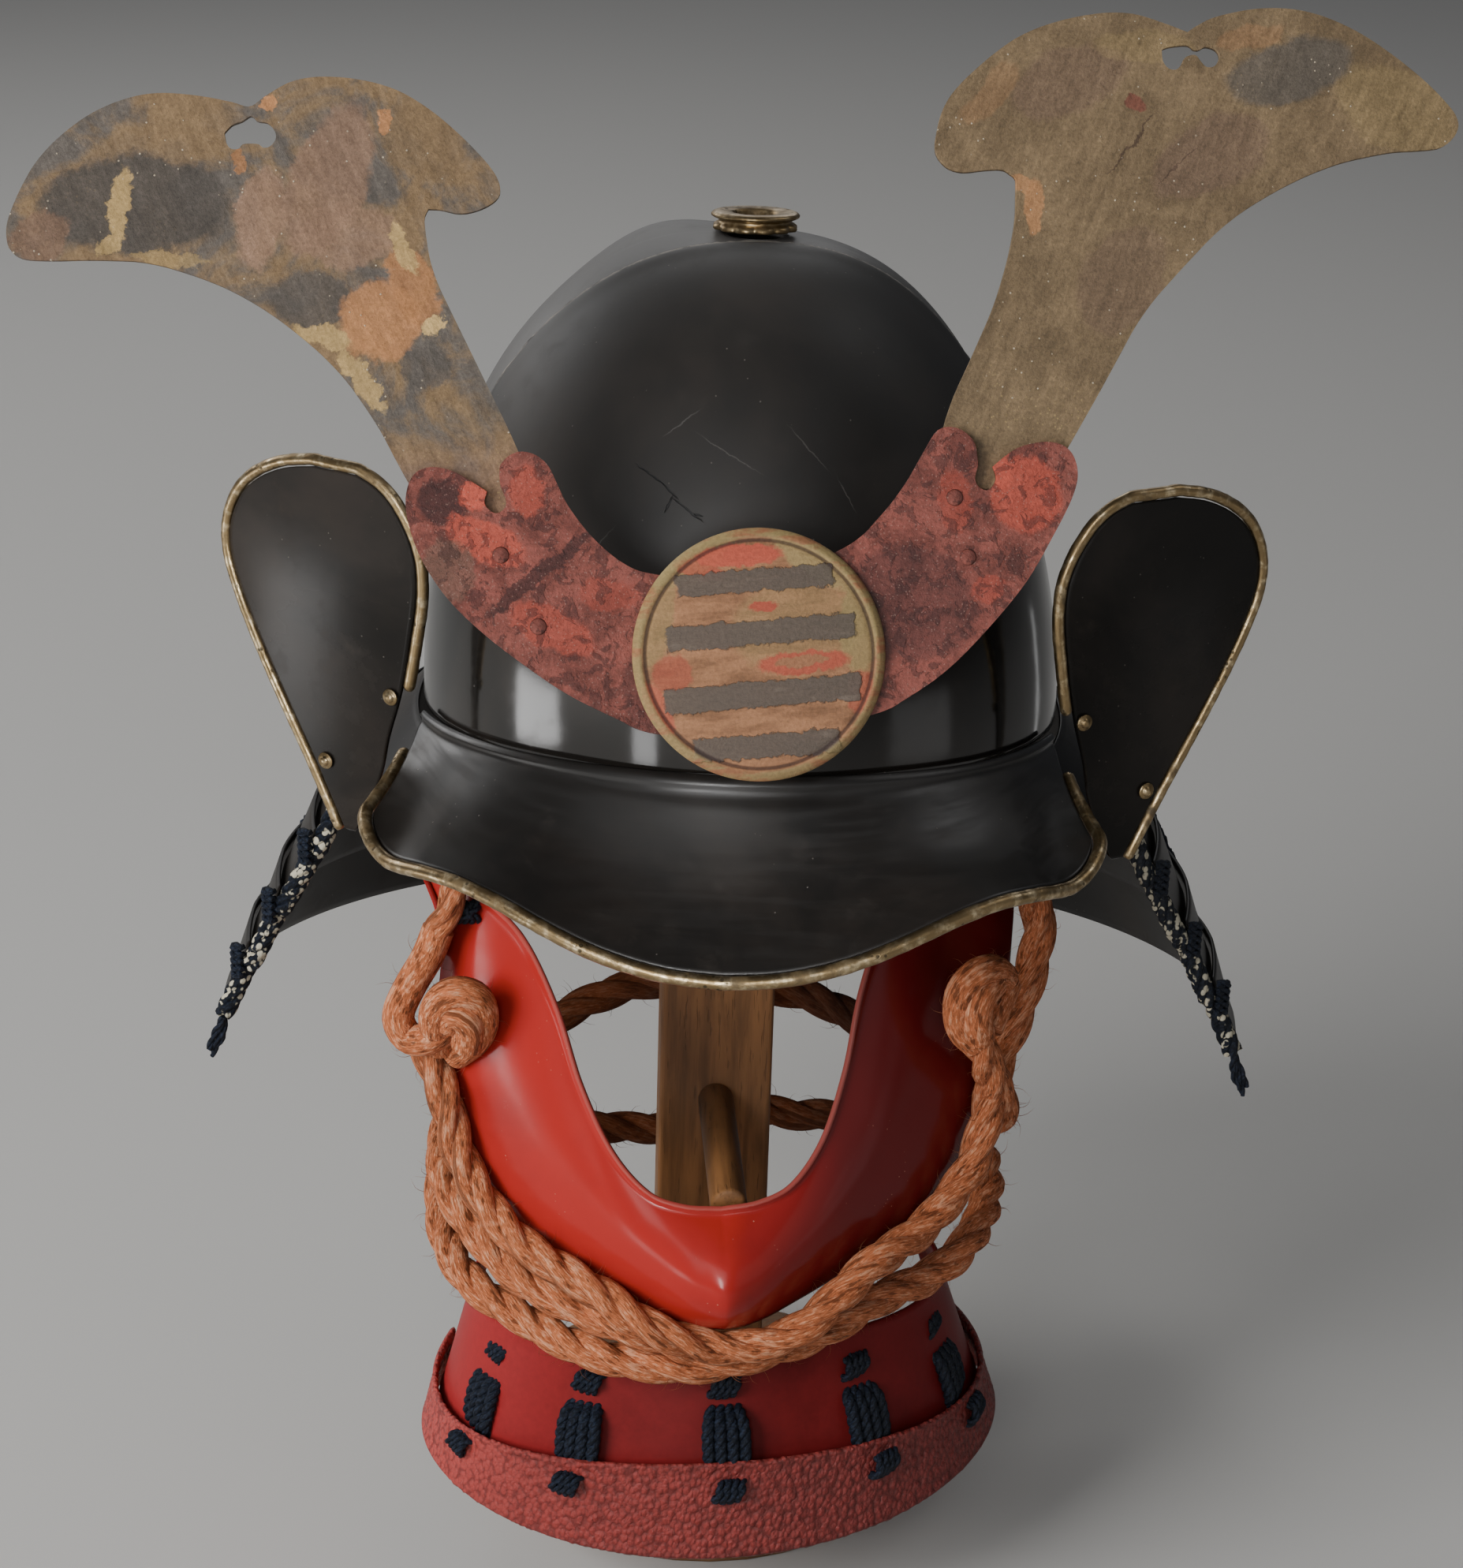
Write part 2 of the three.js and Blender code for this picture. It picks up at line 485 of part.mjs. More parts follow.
function makeBrim(group) {
  piece(group, 'brim', shell(roundedBrimPoint, { across: 36, up: 3, wall: BRIM.wall }), 'lacquer');
  const walk = [];
  for (const v of [0.66, 0.5, 0.36, 0.24, 0.14, 0.07, 0.025]) walk.push([0, v]);
  for (const u of [0, 0.006, 0.014, 0.024, 0.038, 0.056, 0.08]) walk.push([u, 0]);
  for (let u = 0.11; u < 0.5; u += 0.03) walk.push([u, 0]);
  const back = walk.map(([u, v]) => [1 - u, v]).reverse();
  const points = besideEdge(roundedBrimPoint, [...walk, [0.5, 0], ...back], BRIM.wall, RIM_RADIUS);
  piece(group, 'brim_rim', bar(points, RIM_RADIUS, { sides: 6, steps: 54 }), 'brass');
}

// ----------------------------------------------------------- turned-back plates

/** A turned-back plate's front: u across from its inner edge, v up from its tip. */
function earPoint(u, v) {
  const s = mix(column(EAR_ROWS, 'from', v), column(EAR_ROWS, 'to', v), u);
  return earPlace(s, column(EAR_ROWS, 'z', v));
}

/** The point s across and z up in a turned-back plate, bowed towards the front. */
function earPlace(s, z) {
  const bow = EAR.bow * (1 - ((s - 31) / 38) ** 2);
  const [c, n] = [cos(EAR.turn), sin(EAR.turn)];
  return vec(EAR.inner + s * c + bow * n, EAR.front + s * n - bow * c, z);
}

function makeEars(group) {
  const sheets = { left: mirrored(earPoint), right: earPoint };
  const flip = ({ sign }) => vec(sign, 1, 1);
  for (const side of SIDES) {
    const plate = shell(sheets[side.name], { across: 3, up: 14, wall: EAR.wall });
    piece(group, `fukigaeshi_${side.name}`, plate, 'lacquer');
    const rows = Array.from({ length: 17 }, (_, k) => k / 16);
    const walk = [...rows.map((v) => [1, v]), [0.66, 1], [0.33, 1],
      ...rows.slice(5).reverse().map((v) => [0, v])];
    const edge = besideEdge(earPoint, walk, EAR.wall, EAR_RIM_RADIUS);
    const rim = bar(edge.map((p) => p.multiply(flip(side))), EAR_RIM_RADIUS, { sides: 6, steps: 36 });
    piece(group, `fukigaeshi_rim_${side.name}`, rim, 'brass');
    for (const [name, { across, z }] of Object.entries(EAR_RIVETS)) {
      const seat = earPlace(across, z);
      const normal = vec(sin(EAR.turn), -cos(EAR.turn), 0);
      seat.addScaledVector(normal, GAP + 0.2).multiply(flip(side));
      const profile = [[0, 0], [RIVET.radius, 0], [RIVET.radius * 0.8, RIVET.height * 0.7], [0, RIVET.height]];
      const rivet = piece(group, `rivet_${side.name}_${name}`, turned(profile, 10), 'brass');
      rivet.position.copy(seat);
      rivet.quaternion.setFromUnitVectors(vec(0, 0, 1), normal.multiply(flip(side)));
    }
  }
}

// -------------------------------------------------------------------- neck guard

/** Point beside the rim: out from it and below it, dropping further towards the back. */
function skirtPoint(angle, out, drop) {
  const p = rimPlan(angle, out);
  const rear = max(0, -cos(angle));
  p.z = rimZ(angle) * 0.3 - drop * (1 + LAME.rearDrop * rear);
  return p;
}

function makeNeckGuard(group) {
  LAMES.forEach(({ topOut, topDrop, lowOut, lowDrop, start }, k) => {
    const from = start * DEG;
    const sheet = (u, v) => {
      const angle = mix(from, 2 * PI - from, u);
      return skirtPoint(angle, mix(lowOut, topOut, v), mix(lowDrop, topDrop, v));
    };
    const lame = shell(sheet, { across: 24, up: 1, wall: LAME.wall });
    piece(group, `neck_lame_${k + 1}`, lame, 'lacquer');
  });
  makeNeckLacing(group);
  makeEdgeBraids(group);
}

/** Upright laces over the outside of the lames, stepping out over each lower one. */
function makeNeckLacing(group) {
  LACE.columns.forEach((degrees, k) => {
    const angle = degrees * DEG;
    const points = [];
    for (const { topOut, topDrop, lowOut, lowDrop } of LAMES.slice(1)) {
      points.push(skirtPoint(angle, topOut + LACE.lift + 1.1, topDrop + 2));
      points.push(skirtPoint(angle, lowOut + LACE.lift + 0.9, lowDrop - 6));
    }
    const side = vec(-cos(angle), -sin(angle), 0);
    piece(group, `neck_lace_${k + 1}`, strap(points, () => side, LACE.wide, LACE.thick), 'navy');
  });
}

/** Thick flecked braids that close the lames' front ends, with a short loose tail. */
function makeEdgeBraids(group) {
  for (const side of SIDES) {
    const points = LAMES.slice(1).flatMap(({ topOut, topDrop, lowOut, lowDrop, start }, k) => {
      const angle = start * DEG - (BRAID.radius + 6 * GAP) / (BOWL.halfWidth + lowOut);
      const high = k === 0 ? BRAID.startOut : 0;
      return [skirtPoint(angle, topOut + high, topDrop + 5), skirtPoint(angle, lowOut, lowDrop - 4)];
    });
    const last = points[points.length - 1];
    points.push(last.clone().add(vec(...BRAID.tail)));
    const route = points.map((p) => p.multiply(vec(side.sign, 1, 1)));
    piece(group, `edge_braid_${side.name}`, bar(route, BRAID.radius, { sides: 6, steps: 14 }), 'navy');
  }
}

// ------------------------------------------------------------------------- crest

/** A flat outline through a table's knots; stretches are smooth between the corners. */
function outline(knots, side) {
  const place = ({ left, right }) => (side.sign < 0 ? new THREE.Vector2(-left[0], left[1])
    : new THREE.Vector2(...right));
  const shape = new THREE.Shape();
  const first = place(knots[0]);
  shape.moveTo(first.x, first.y);
  let stretch = [];
  for (const knot of knots.slice(1)) {
    stretch.push(place(knot));
    if (knot.corner) {
      shape.splineThru(stretch);
      stretch = [];
    }
  }
  shape.closePath();
  return shape;
}

/** Two round holes run together, with a narrow waist between them. */
function twinHole({ x, y, inner, outer }, sign) {
  const waist = 1.1;
  const points = [];
  for (const [radius, facing] of [[inner, PI], [outer, 0]]) {
    const half = Math.asin(waist / radius);
    const middle = x + (facing === 0 ? 1 : -1) * radius * cos(half);
    for (let k = 0; k <= 8; k += 1) {
      const a = facing - (PI - half) + k * 2 * (PI - half) / 8;
      points.push(new THREE.Vector2(sign * (middle + radius * cos(a)), y + 0.85 * radius * sin(a)));
    }
  }
  return new THREE.Path(points);
}

function makeCrest(group) {
  for (const side of SIDES) {
    const horn = outline(HORN_KNOTS, side);
    horn.holes.push(twinHole(HORN_HOLES[side.name], side.sign));
    const options = { depth: PLATE.horn, bevelEnabled: false, curveSegments: 2 };
    const hornBody = closed(new THREE.ExtrudeGeometry(horn, options));
    hornBody.translate(0, 0, -PLATE.arm - GAP - PLATE.horn);
    piece(group, `horn_${side.name}`, hornBody, side.sign < 0 ? 'hornLeft' : 'hornRight');
    const arm = outline(ARM_KNOTS, side);
    const armBody = closed(new THREE.ExtrudeGeometry(arm, { ...options, depth: PLATE.arm }));
    armBody.translate(0, 0, -PLATE.arm);
    piece(group, `crest_arm_${side.name}`, armBody, 'arm');
  }
  const { radius, edge, dome } = DISC;
  const face = [[0, GAP], [radius, GAP], [radius, edge - 0.8], [radius - 1.2, edge]];
  for (const share of [0.72, 0.36]) face.push([radius * share, edge + dome * (1 - share ** 2)]);
  face.push([0, edge + dome]);
  piece(group, 'crest_disc', turned(face, 28), 'disc');
  const hook = new THREE.BoxGeometry(HOOK.wide, HOOK.thick, HOOK.reach);
  hook.translate(0, -HOOK.drop, -HOOK.reach / 2 - PLATE.arm - GAP);
  piece(group, 'crest_hook', closed(hook), 'iron');
}

// -------------------------------------------------------------------- face guard

/** The half face guard: u from the left ear round the chin, v from the lower edge up. */
function maskPoint(u, v) {
  const share = 2 * u - 1;
  const sign = share < 0 ? -1 : 1;
  const get = (name) => column(MASK_ROWS, name, abs(share));
  const low = vec(sign * get('lowX'), get('lowY'), get('lowZ'));
  const open = vec(sign * get('openX'), get('openY'), get('openZ'));
  const p = low.lerp(open, v);
  const out = vec(p.x, p.y + 20, 0).normalize();
  const swell = get('bulge') * sin(PI * min(1, v * 1.05)) ** 0.9;
  return p.addScaledVector(out, swell);
}

function makeMask(group) {
  piece(group, 'mask', shell(maskPoint, { across: 28, up: 5, wall: MASK.wall }), 'vermilion');
}

/** Point of a throat lame: angle from the front, v from the lower edge up. */
function throatPoint(lame, angle, v) {
  const edge = (name) => mix(lame[`low${name}`], lame[`top${name}`], v);
  const z = edge('Z') - edge('Side') * sin(angle) ** 2;
  return vec(edge('X') * sin(angle), THROAT.middle - edge('Y') * cos(angle), z);
}

function makeThroatGuard(group) {
  for (const [name, lame] of Object.entries(THROAT_LAMES)) {
    const sheet = (u, v) => throatPoint(lame, mix(-THROAT.reach, THROAT.reach, u), v);
    const body = shell(sheet, { across: 22, up: 1, wall: THROAT.wall });
    piece(group, `throat_lame_${name}`, body, name === 'upper' ? 'maroon' : 'pebbled');
  }
  THROAT_LACE.angles.forEach((degrees, k) => {
    const angle = degrees * DEG;
    const points = [0.68, 0.5, 0.32, 0.17].map((v) => {
      const p = throatPoint(THROAT_LAMES.upper, angle, v);
      return p.add(vec(sin(angle), -cos(angle), 0).multiplyScalar(GAP + 0.5));
    });
    points.reverse();
    const side = vec(cos(angle), sin(angle), 0);
    const lace = strap(points, () => side, THROAT_LACE.wide, THROAT_LACE.thick);
    piece(group, `throat_lace_${k + 1}`, lace, 'navy');
  });
}

// -------------------------------------------------------------------------- cord

/** The one rope: its stretches and the turns of its two knots, run together. */
function makeCord(group) {
  const stretch = (rows) => {
    const points = rows.map((row) => vec(...row));
    return bar(points, CORD.radius, { sides: CORD.sides, steps: 2 * (rows.length - 1) });
  };
  const runs = [...Object.values(CORD_ROUTES), ...KNOT_TURNS].map(stretch);
  piece(group, 'chin_cord', joined(runs), 'cord');
}

// ------------------------------------------------------------------------- stand

function makeStand(group) {
  const disc = ({ radius, thick, chamfer }) => turned([[0, 0], [radius, 0],
    [radius, thick - chamfer], [radius - chamfer, thick], [0, thick]], 36);
  piece(group, 'stand_base', disc(BASE), 'wood').position.set(0, BASE.middle, 0);
  const middle = POST.front + POST.deep / 2;
  const underside = SADDLE.top - SADDLE.thick;
  const post = new THREE.BoxGeometry(POST.wide, POST.deep, underside - BASE.thick - 2 * GAP);
  post.translate(0, middle, (underside + BASE.thick) / 2);
  piece(group, 'stand_post', closed(post), 'wood');
  piece(group, 'stand_top', disc(SADDLE), 'wood').position.set(HELMET.right, middle, underside);
  const from = vec(0, POST.front - 3 * GAP, PEG.height);
  const to = vec(0, PEG.tip, PEG.height + PEG.rise);
  piece(group, 'stand_peg', bar([from, to], PEG.radius, { sides: 16, steps: 1 }), 'wood');
}

// ------------------------------------------------------------------------ whole

const whole = new THREE.Group();

const helmet = new THREE.Group();
helmet.position.set(HELMET.right, 0, HELMET.rimHeight);
helmet.rotation.z = HELMET.turn;
whole.add(helmet);
makeBowl(helmet);
makeTehenRing(helmet);
makeBrim(helmet);
makeEars(helmet);
makeNeckGuard(helmet);

const crest = new THREE.Group();
crest.position.set(CREST.x, CREST.y, CREST.z);
crest.rotation.set(PI / 2 - CREST.tiltBack, 0, CREST.roll);
whole.add(crest);
makeCrest(crest);

const guard = new THREE.Group();
guard.position.set(GUARD.right, 0, HELMET.rimHeight);
guard.rotation.set(0, GUARD.lean, GUARD.turn, 'ZYX');
whole.add(guard);
makeMask(guard);
makeThroatGuard(guard);

makeCord(whole);
makeStand(whole);

export default whole;
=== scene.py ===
"""A samurai helmet with its half face guard, tied with its chin rope, on a plain wooden stand.

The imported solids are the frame. Each shape below repeats the solids' own formulas in
millimetres, much finer, and is turned into metres when its mesh is made. The front looks
along -Y, and left and right are as seen from the front.
"""

import math
from math import cos, exp, pi, radians, sin, sqrt
from types import SimpleNamespace as Sizes

import bmesh
import bpy
import numpy as np
from mathutils import Matrix, Vector, noise


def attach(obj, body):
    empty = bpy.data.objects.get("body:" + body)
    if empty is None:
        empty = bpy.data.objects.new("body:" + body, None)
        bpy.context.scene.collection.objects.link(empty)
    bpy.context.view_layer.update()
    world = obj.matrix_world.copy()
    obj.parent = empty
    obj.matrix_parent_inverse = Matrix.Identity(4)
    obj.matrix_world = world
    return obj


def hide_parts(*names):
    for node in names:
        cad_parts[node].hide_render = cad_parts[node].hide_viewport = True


bl_info = {
    "name": "Samurai Helmet",
    "version": (1, 0, 0),
    "blender": (4, 5, 0),
    "location": "3D View > Sidebar > Helmet",
    "description": "Builds a lacquered samurai helmet with its face guard on a wooden stand",
    "category": "Add Mesh",
}

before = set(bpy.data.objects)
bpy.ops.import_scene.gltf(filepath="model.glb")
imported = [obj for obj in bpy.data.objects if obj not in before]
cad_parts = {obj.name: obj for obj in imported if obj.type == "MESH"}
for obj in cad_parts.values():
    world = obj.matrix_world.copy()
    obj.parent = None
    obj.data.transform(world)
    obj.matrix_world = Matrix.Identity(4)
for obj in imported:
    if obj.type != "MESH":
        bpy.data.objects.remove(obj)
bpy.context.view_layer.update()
MM = 0.001


def shade(code):
    """A colour code such as #8d7a4e as linear red, green and blue."""
    parts = [int(code[k : k + 2], 16) / 255 for k in (1, 3, 5)]
    return tuple(c / 12.92 if c <= 0.04045 else ((c + 0.055) / 1.055) ** 2.4 for c in parts)


# ---------------------------------------------------------------- sizes and colours


def length(name, description, default, low=0.0):
    """A size of the object, in metres."""
    return bpy.props.FloatProperty(
        name=name, description=description, default=default, min=low, unit="LENGTH"
    )


def colour(name, description, code):
    """A colour of the object."""
    return bpy.props.FloatVectorProperty(
        name=name, description=description, default=shade(code), subtype="COLOR",
        size=3, min=0.0, max=1.0,
    )


class HelmetSizes(bpy.types.PropertyGroup):
    """Sizes of the fine detail that the solids leave out."""

    plate_step: length("Front plate step", "How far the front plate stands over the crown", 0.0016)
    pebble_height: length("Pebble height", "Relief of the pebbled throat lame", 0.0006)
    rope_lay: length("Rope lay", "Length of rope in which its strands turn once", 0.052, 0.005)
    braid_lay: length("Braid lay", "Length of edge braid in which its strands turn once", 0.021, 0.005)
    fibre_length: length("Loose fibre length", "Length of the loose fibres of the rope", 0.006)
    edge_bevel: length("Edge wear", "Rounding of the plates' cut edges", 0.0005)
    fibre_count: bpy.props.IntProperty(
        name="Loose fibres", description="Loose fibres on each square metre of rope",
        default=26000, min=0,
    )


class HelmetColours(bpy.types.PropertyGroup):
    """Colours of the finishes."""

    lacquer: colour("Lacquer", "Black lacquer of the bowl", "#161412")
    lacquer_brown: colour("Brown lacquer", "Brown that shows through the black lacquer", "#26211d")
    brass: colour("Brass", "Aged brass of the edgings", "#8f7a58")
    brass_bright: colour("Rubbed brass", "Brass where it is rubbed bright", "#dfcca6")
    slate: colour("Slate", "Grey tarnish of the horns", "#474441")
    mauve: colour("Mauve", "Brownish-mauve tarnish of the horns", "#6a5648")
    tan: colour("Tan", "Tan remains of gilding on the horns", "#8d7952")
    ochre: colour("Ochre", "Orange-brown stains of the horns", "#8c6443")
    olive: colour("Olive", "Olive-brown tarnish of the horns", "#655540")
    crimson: colour("Crimson", "Dull red lacquer of the crest's arms", "#7a443b")
    scarlet: colour("Scarlet", "Bright remains of red on the crest", "#b3503f")
    umber: colour("Umber", "Dark wear of the crest's arms", "#33201f")
    gilding: colour("Gilding", "Worn tan gilding of the disc", "#93694b")
    straw: colour("Straw", "Yellowed lacquer on the disc", "#9b875a")
    bar: colour("Bar", "Grey bars of the disc", "#5b5148")
    vermilion: colour("Vermilion", "Bright red lacquer of the face guard", "#a02824")
    maroon: colour("Maroon", "Upper throat lame", "#6a1b1c")
    pebbled: colour("Pebbled red", "Lower throat lame", "#7d302c")
    navy: colour("Navy", "Navy silk of the laces", "#10151f")
    fleck: colour("Fleck", "Pale flecks of the edge braids", "#b3ac98")
    hemp: colour("Hemp", "Orange hemp of the rope", "#bd6d46")
    hemp_pale: colour("Pale hemp", "Pale fibres of the rope", "#e6b08c")
    wood: colour("Wood", "Warm brown wood of the stand", "#6f4c2d")
    iron: colour("Iron", "Dark iron of the crest's hook", "#2a2622")


def sizes():
    """The scene's fine sizes, in metres."""
    return bpy.context.scene.helmet_sizes


def colours():
    """The scene's colours."""
    return bpy.context.scene.helmet_colours


# ------------------------------------------------------- the solids' sizes, millimetres


def table(names, *rows):
    """The rows of a table, each with its values under the columns' names."""
    return [Sizes(**dict(zip(names.split(), row))) for row in rows]


GAP = 0.3

HELMET = Sizes(right=4.7, rim_height=327, turn=radians(-4.8))
GUARD = Sizes(right=-12.5, turn=radians(2), lean=radians(-2.3))
BOWL = Sizes(
    half_width=110, front=118, back=128, height=163, wall=2, front_rise=20, fullness=0.84,
    apex_back=8, hole=10, lopside=4, crown_tilt=0.11, plate_half_width=46, plate_step=1.3,
)
PLATE_SIDE = (BOWL.plate_half_width - 30, BOWL.plate_half_width + 14)  # where the front plate fades
PLATE_REAR = Sizes(  # the front plate's rear edge: its line, its step, and the roll beside it
    y=-11, slant=0.13, before=0.8, after=1.4, roll=0.35, roll_in=3, roll_wide=5, sunk=0.8
)
PLATE_FADE = (60, 110)  # heights over the rim between which the plate's rear edge comes out
BULGE_CENTRE = 40  # the height from which the bowl's relief stands outwards
LOBE = Sizes(rise=5.5, x=-36, y=36, wide=24, deep=30)
TEHEN = Sizes(
    radius=16.6, height=6, hole=7.5, petals=12, petal_depth=1.2, tilt=radians(-7), lift=0.9, tuck=2.2
)
BRIM = Sizes(wall=1.8, spread=radians(70), proud=3, seat=2, sag=5, corner=0.9, trim=0.09)
BRIM_PLAN = Sizes(middle=-60, half_width=126, front=105, spread=radians(70))
# the brim's lower edge: share of the way from the middle to a corner, height from the rim
BRIM_EDGE = table(
    "share z",
    (0.0, -25.5), (0.12, -24.3), (0.25, -20.5), (0.36, -15.5), (0.48, -10.2), (0.6, -8),
    (0.72, -9.8), (0.86, -13.2), (1.0, -9),
)
RIM_RADIUS = 2.3
EAR_RIM_RADIUS = 2
EAR = Sizes(inner=112, front=-64, turn=radians(30), bow=4, middle=31, half=38, wall=1.8)
# a turned-back plate's outline: height, and where it starts and ends across
EAR_ROWS = table(
    "z start end",
    (-31, 16.5, 20.5), (-22, 12, 25), (-8, 6.5, 32.5), (6, 3.5, 41), (20, -0.5, 49.8),
    (32, -3, 57.2), (44, -5, 64), (54, -6.5, 68.5), (62, -6.9, 69.8), (70, -6.3, 68.2),
    (78, -3.8, 63.8), (84, -0.6, 58), (89, 3, 50.5), (93, 8, 41.5), (95.5, 14, 31),
)
RIVET = Sizes(radius=3, height=1.6)
EAR_RIVETS = Sizes(upper=Sizes(across=1.8, z=21), lower=Sizes(across=27.5, z=-7.5))
# the lames: how far out and down their two edges are, and the angle where they start
LAMES = table(
    "top_out top_drop low_out low_drop start",
    (2.5, 2, 24.3, 25, 68), (24.5, 20, 38, 48, 75.6), (39.5, 43, 50.5, 71, 76.5),
    (52, 66, 61.5, 94, 78), (63, 89, 72, 117, 79.5),
)
LAME = Sizes(wall=1.4, rear_drop=0.36, front_rise=0.3)
LACE = Sizes(lift=1.5, apart=2.2, columns=[104, 129, 154, 180, 206, 231, 256])
BRAID = Sizes(radius=4.6, start_out=5, tail=(5, 1, -18))
CREST = Sizes(place=(0, -140, 397.9), tilt_back=radians(25), roll=radians(5))
# the horns' small holes, each a pair run together, across and up from the disc's middle
HORN_HOLES = {
    "left": [
        (-148, 171), (-145.5, 173.2), (-142.3, 174.2), (-139.5, 175.6), (-137.6, 173.9),
        (-134.6, 173.1), (-132.8, 170.6), (-132.8, 167.9), (-134.9, 165.8), (-136.9, 165.8),
        (-138.2, 166.9), (-142.6, 167.2), (-144, 165.9), (-146.4, 166.1), (-147.6, 167.9),
    ],
    "right": [
        (140.3, 176), (143.2, 176.7), (148.5, 176.8), (150.5, 175.3), (152.1, 175.1),
        (154.1, 175.9), (157.2, 174.8), (158.2, 172.3), (156.4, 169.8), (153.9, 169.6),
        (152.3, 171.3), (150.6, 173.6), (147.5, 173.1), (146.2, 171.1), (144.3, 169.5),
        (141.9, 170.1), (140.4, 172.5),
    ],
}
DISC = Sizes(radius=38.6, edge=2.6, dome=1.8, line=36.3, groove=34.7, rings=48)
NAIL = Sizes(radius=2.6, height=1.0, lift=0.02)
ARM_NAILS = [(-75.5, 36.5), (-66, 14), (64, 43), (66.5, 24.5)]
MASK = Sizes(wall=2, middle=20, ridge=1.1, ridge_wide=0.06, roll=0.5, soft=0.05)
MASK_TUCK = 0.62  # how much narrower its upper left end is, behind the rope
MASK_REACH = (3, 14.5)  # how far the lower edge stands out further under the rope, left and right
# the face guard from the chin to an ear: its opening's edge, its lower edge, and its fullness
MASK_ROWS = table(
    "open_x open_y open_z low_x low_y low_z bulge",
    (0, -100, -149, 0, -107, -193, 16), (13, -99.5, -147.5, 9, -106, -192, 12),
    (25.5, -96, -143, 21, -101, -189.5, 8), (37, -87, -131, 40, -90, -183, 6.5),
    (46, -74, -112, 62, -73, -172, 6), (53, -61, -88, 81, -52, -155, 6),
    (63, -48, -68, 94, -32, -126, 5), (76, -36, -58, 100, -16, -95, 3),
    (88, -24, -54, 102, -6, -66, 1),
)
CORNER_TIE = Vector((-89.5, -38.5, 260))  # the navy tie on its upper left corner
THROAT = Sizes(middle=-30, wall=2, reach=radians(112))
THROAT_UPPER = Sizes(
    top=Sizes(x=82, y=64, z=-209, side=8), low=Sizes(x=95, y=77, z=-252, side=6)
)
THROAT_FLARED = Sizes(  # the upper lame as shown, flaring over the cords that hang the lower one
    top=Sizes(x=86, y=64, z=-209, side=8), low=Sizes(x=100, y=78, z=-259, side=6)
)
THROAT_LOWER = Sizes(
    top=Sizes(x=102, y=81, z=-246, side=11), low=Sizes(x=107, y=84, z=-283, side=-7)
)
# where the throat laces hang, in degrees from the front
THROAT_LACE_ANGLES = [-64, -33, 0, 33, 65]
ROPE_RADIUS = 6.5
TOP_RADIUS = 5.1  # of the stretch that comes down from the helmet on the left
KNOT_RADIUS = 5.7
ROPE_RISE = Sizes(neck=4.5, neck_right=2.5, jaw=3)
# centre lines of the rope, as in the solids apart from a few millimetres of rise in front
CORD_ROUTES = {
    "from_helmet": [
        (-90, -34, 338), (-91, -38, 300), (-95, -41, 268), (-101, -39, 253), (-104, -36, 240),
    ],
    "jaw": [
        (-105, -42, 212), (-98, -52, 196), (-93, -59, 178), (-85, -68, 165), (-73, -81, 155),
        (-59, -92, 148), (-44, -102, 143), (-26, -110, 134), (-5, -109, 126), (12, -109, 127),
        (28, -107, 134), (49, -94, 148), (66, -79, 154), (77, -69, 160), (88, -58, 170),
        (93, -50, 182), (98, -38, 199), (105, -29, 213), (111, -22, 231), (113, -17, 247),
        (108, -20, 263), (101, -24, 283), (94, -26, 338),
    ],
    "neck": [
        (-4, 64, 116), (-34, 60, 119), (-66, 46, 128), (-88, 24, 137), (-99, -4, 138),
        (-99, -32, 129), (-90, -57, 120), (-74, -74, 117), (-50, -94, 114), (-28, -103, 113.5),
        (-5, -105, 114.5), (29, -99, 121), (54, -86, 126), (73, -73, 127), (87, -61, 132),
        (98, -34, 139), (100, -6, 144), (92, 24, 140), (68, 48, 131), (36, 61, 124), (6, 65, 128),
    ],
    "behind": [
        (-12, -104, 122), (-30, -103, 128), (-50, -93, 131), (-70, -79, 137), (-85, -62, 144),
        (-97, -40, 152), (-99, -16, 157), (-92, 14, 160), (-72, 40, 166), (-50, 52, 176),
        (-24, 60, 182), (4, 64, 178), (34, 60, 178), (58, 48, 172), (82, 26, 164), (98, 0, 160),
        (103, -22, 170), (100, -38, 186), (93, -51, 206), (87, -57, 222),
    ],
}
# the turns that each knot is tied of, three on the left and three on the right
KNOT_TURNS = [
    [(-100, -38, 254), (-104, -40, 244), (-110, -43, 234), (-114, -47, 225), (-111, -49, 218),
     (-105, -52, 218), (-99, -53, 222), (-95, -51, 226)],
    [(-99, -48, 214), (-101, -55, 226), (-100, -59, 235), (-95, -61, 241), (-88, -61, 240),
     (-85, -59, 234), (-85, -57, 226), (-88, -53, 218), (-94, -47, 210)],
    [(-96, -57, 228), (-93, -62, 234), (-89, -61, 229), (-90, -57, 219)],
    [(97, -44, 238), (92, -52, 245), (86, -57, 246), (81, -59, 241), (80, -59, 233),
     (82, -58, 225), (87, -56, 219)],
    [(92, -53, 241), (87, -60, 238), (86, -61, 231), (88, -58, 222)],
    [(99, -40, 234), (95, -48, 230), (91, -55, 224)],
]

PLACE = Sizes(
    whole=Matrix.Identity(4),
    helmet=Matrix.Translation((HELMET.right, 0, HELMET.rim_height))
    @ Matrix.Rotation(HELMET.turn, 4, "Z"),
    crest=Matrix.Translation(CREST.place)
    @ Matrix.Rotation(pi / 2 - CREST.tilt_back, 4, "X")
    @ Matrix.Rotation(CREST.roll, 4, "Z"),
    guard=Matrix.Translation((GUARD.right, 0, HELMET.rim_height))
    @ Matrix.Rotation(GUARD.turn, 4, "Z")
    @ Matrix.Rotation(GUARD.lean, 4, "Y"),
)
SIDES = (("left", -1), ("right", 1))


# ------------------------------------------------------------------------ small helpers


def mix(a, b, t):
    return a + (b - a) * t


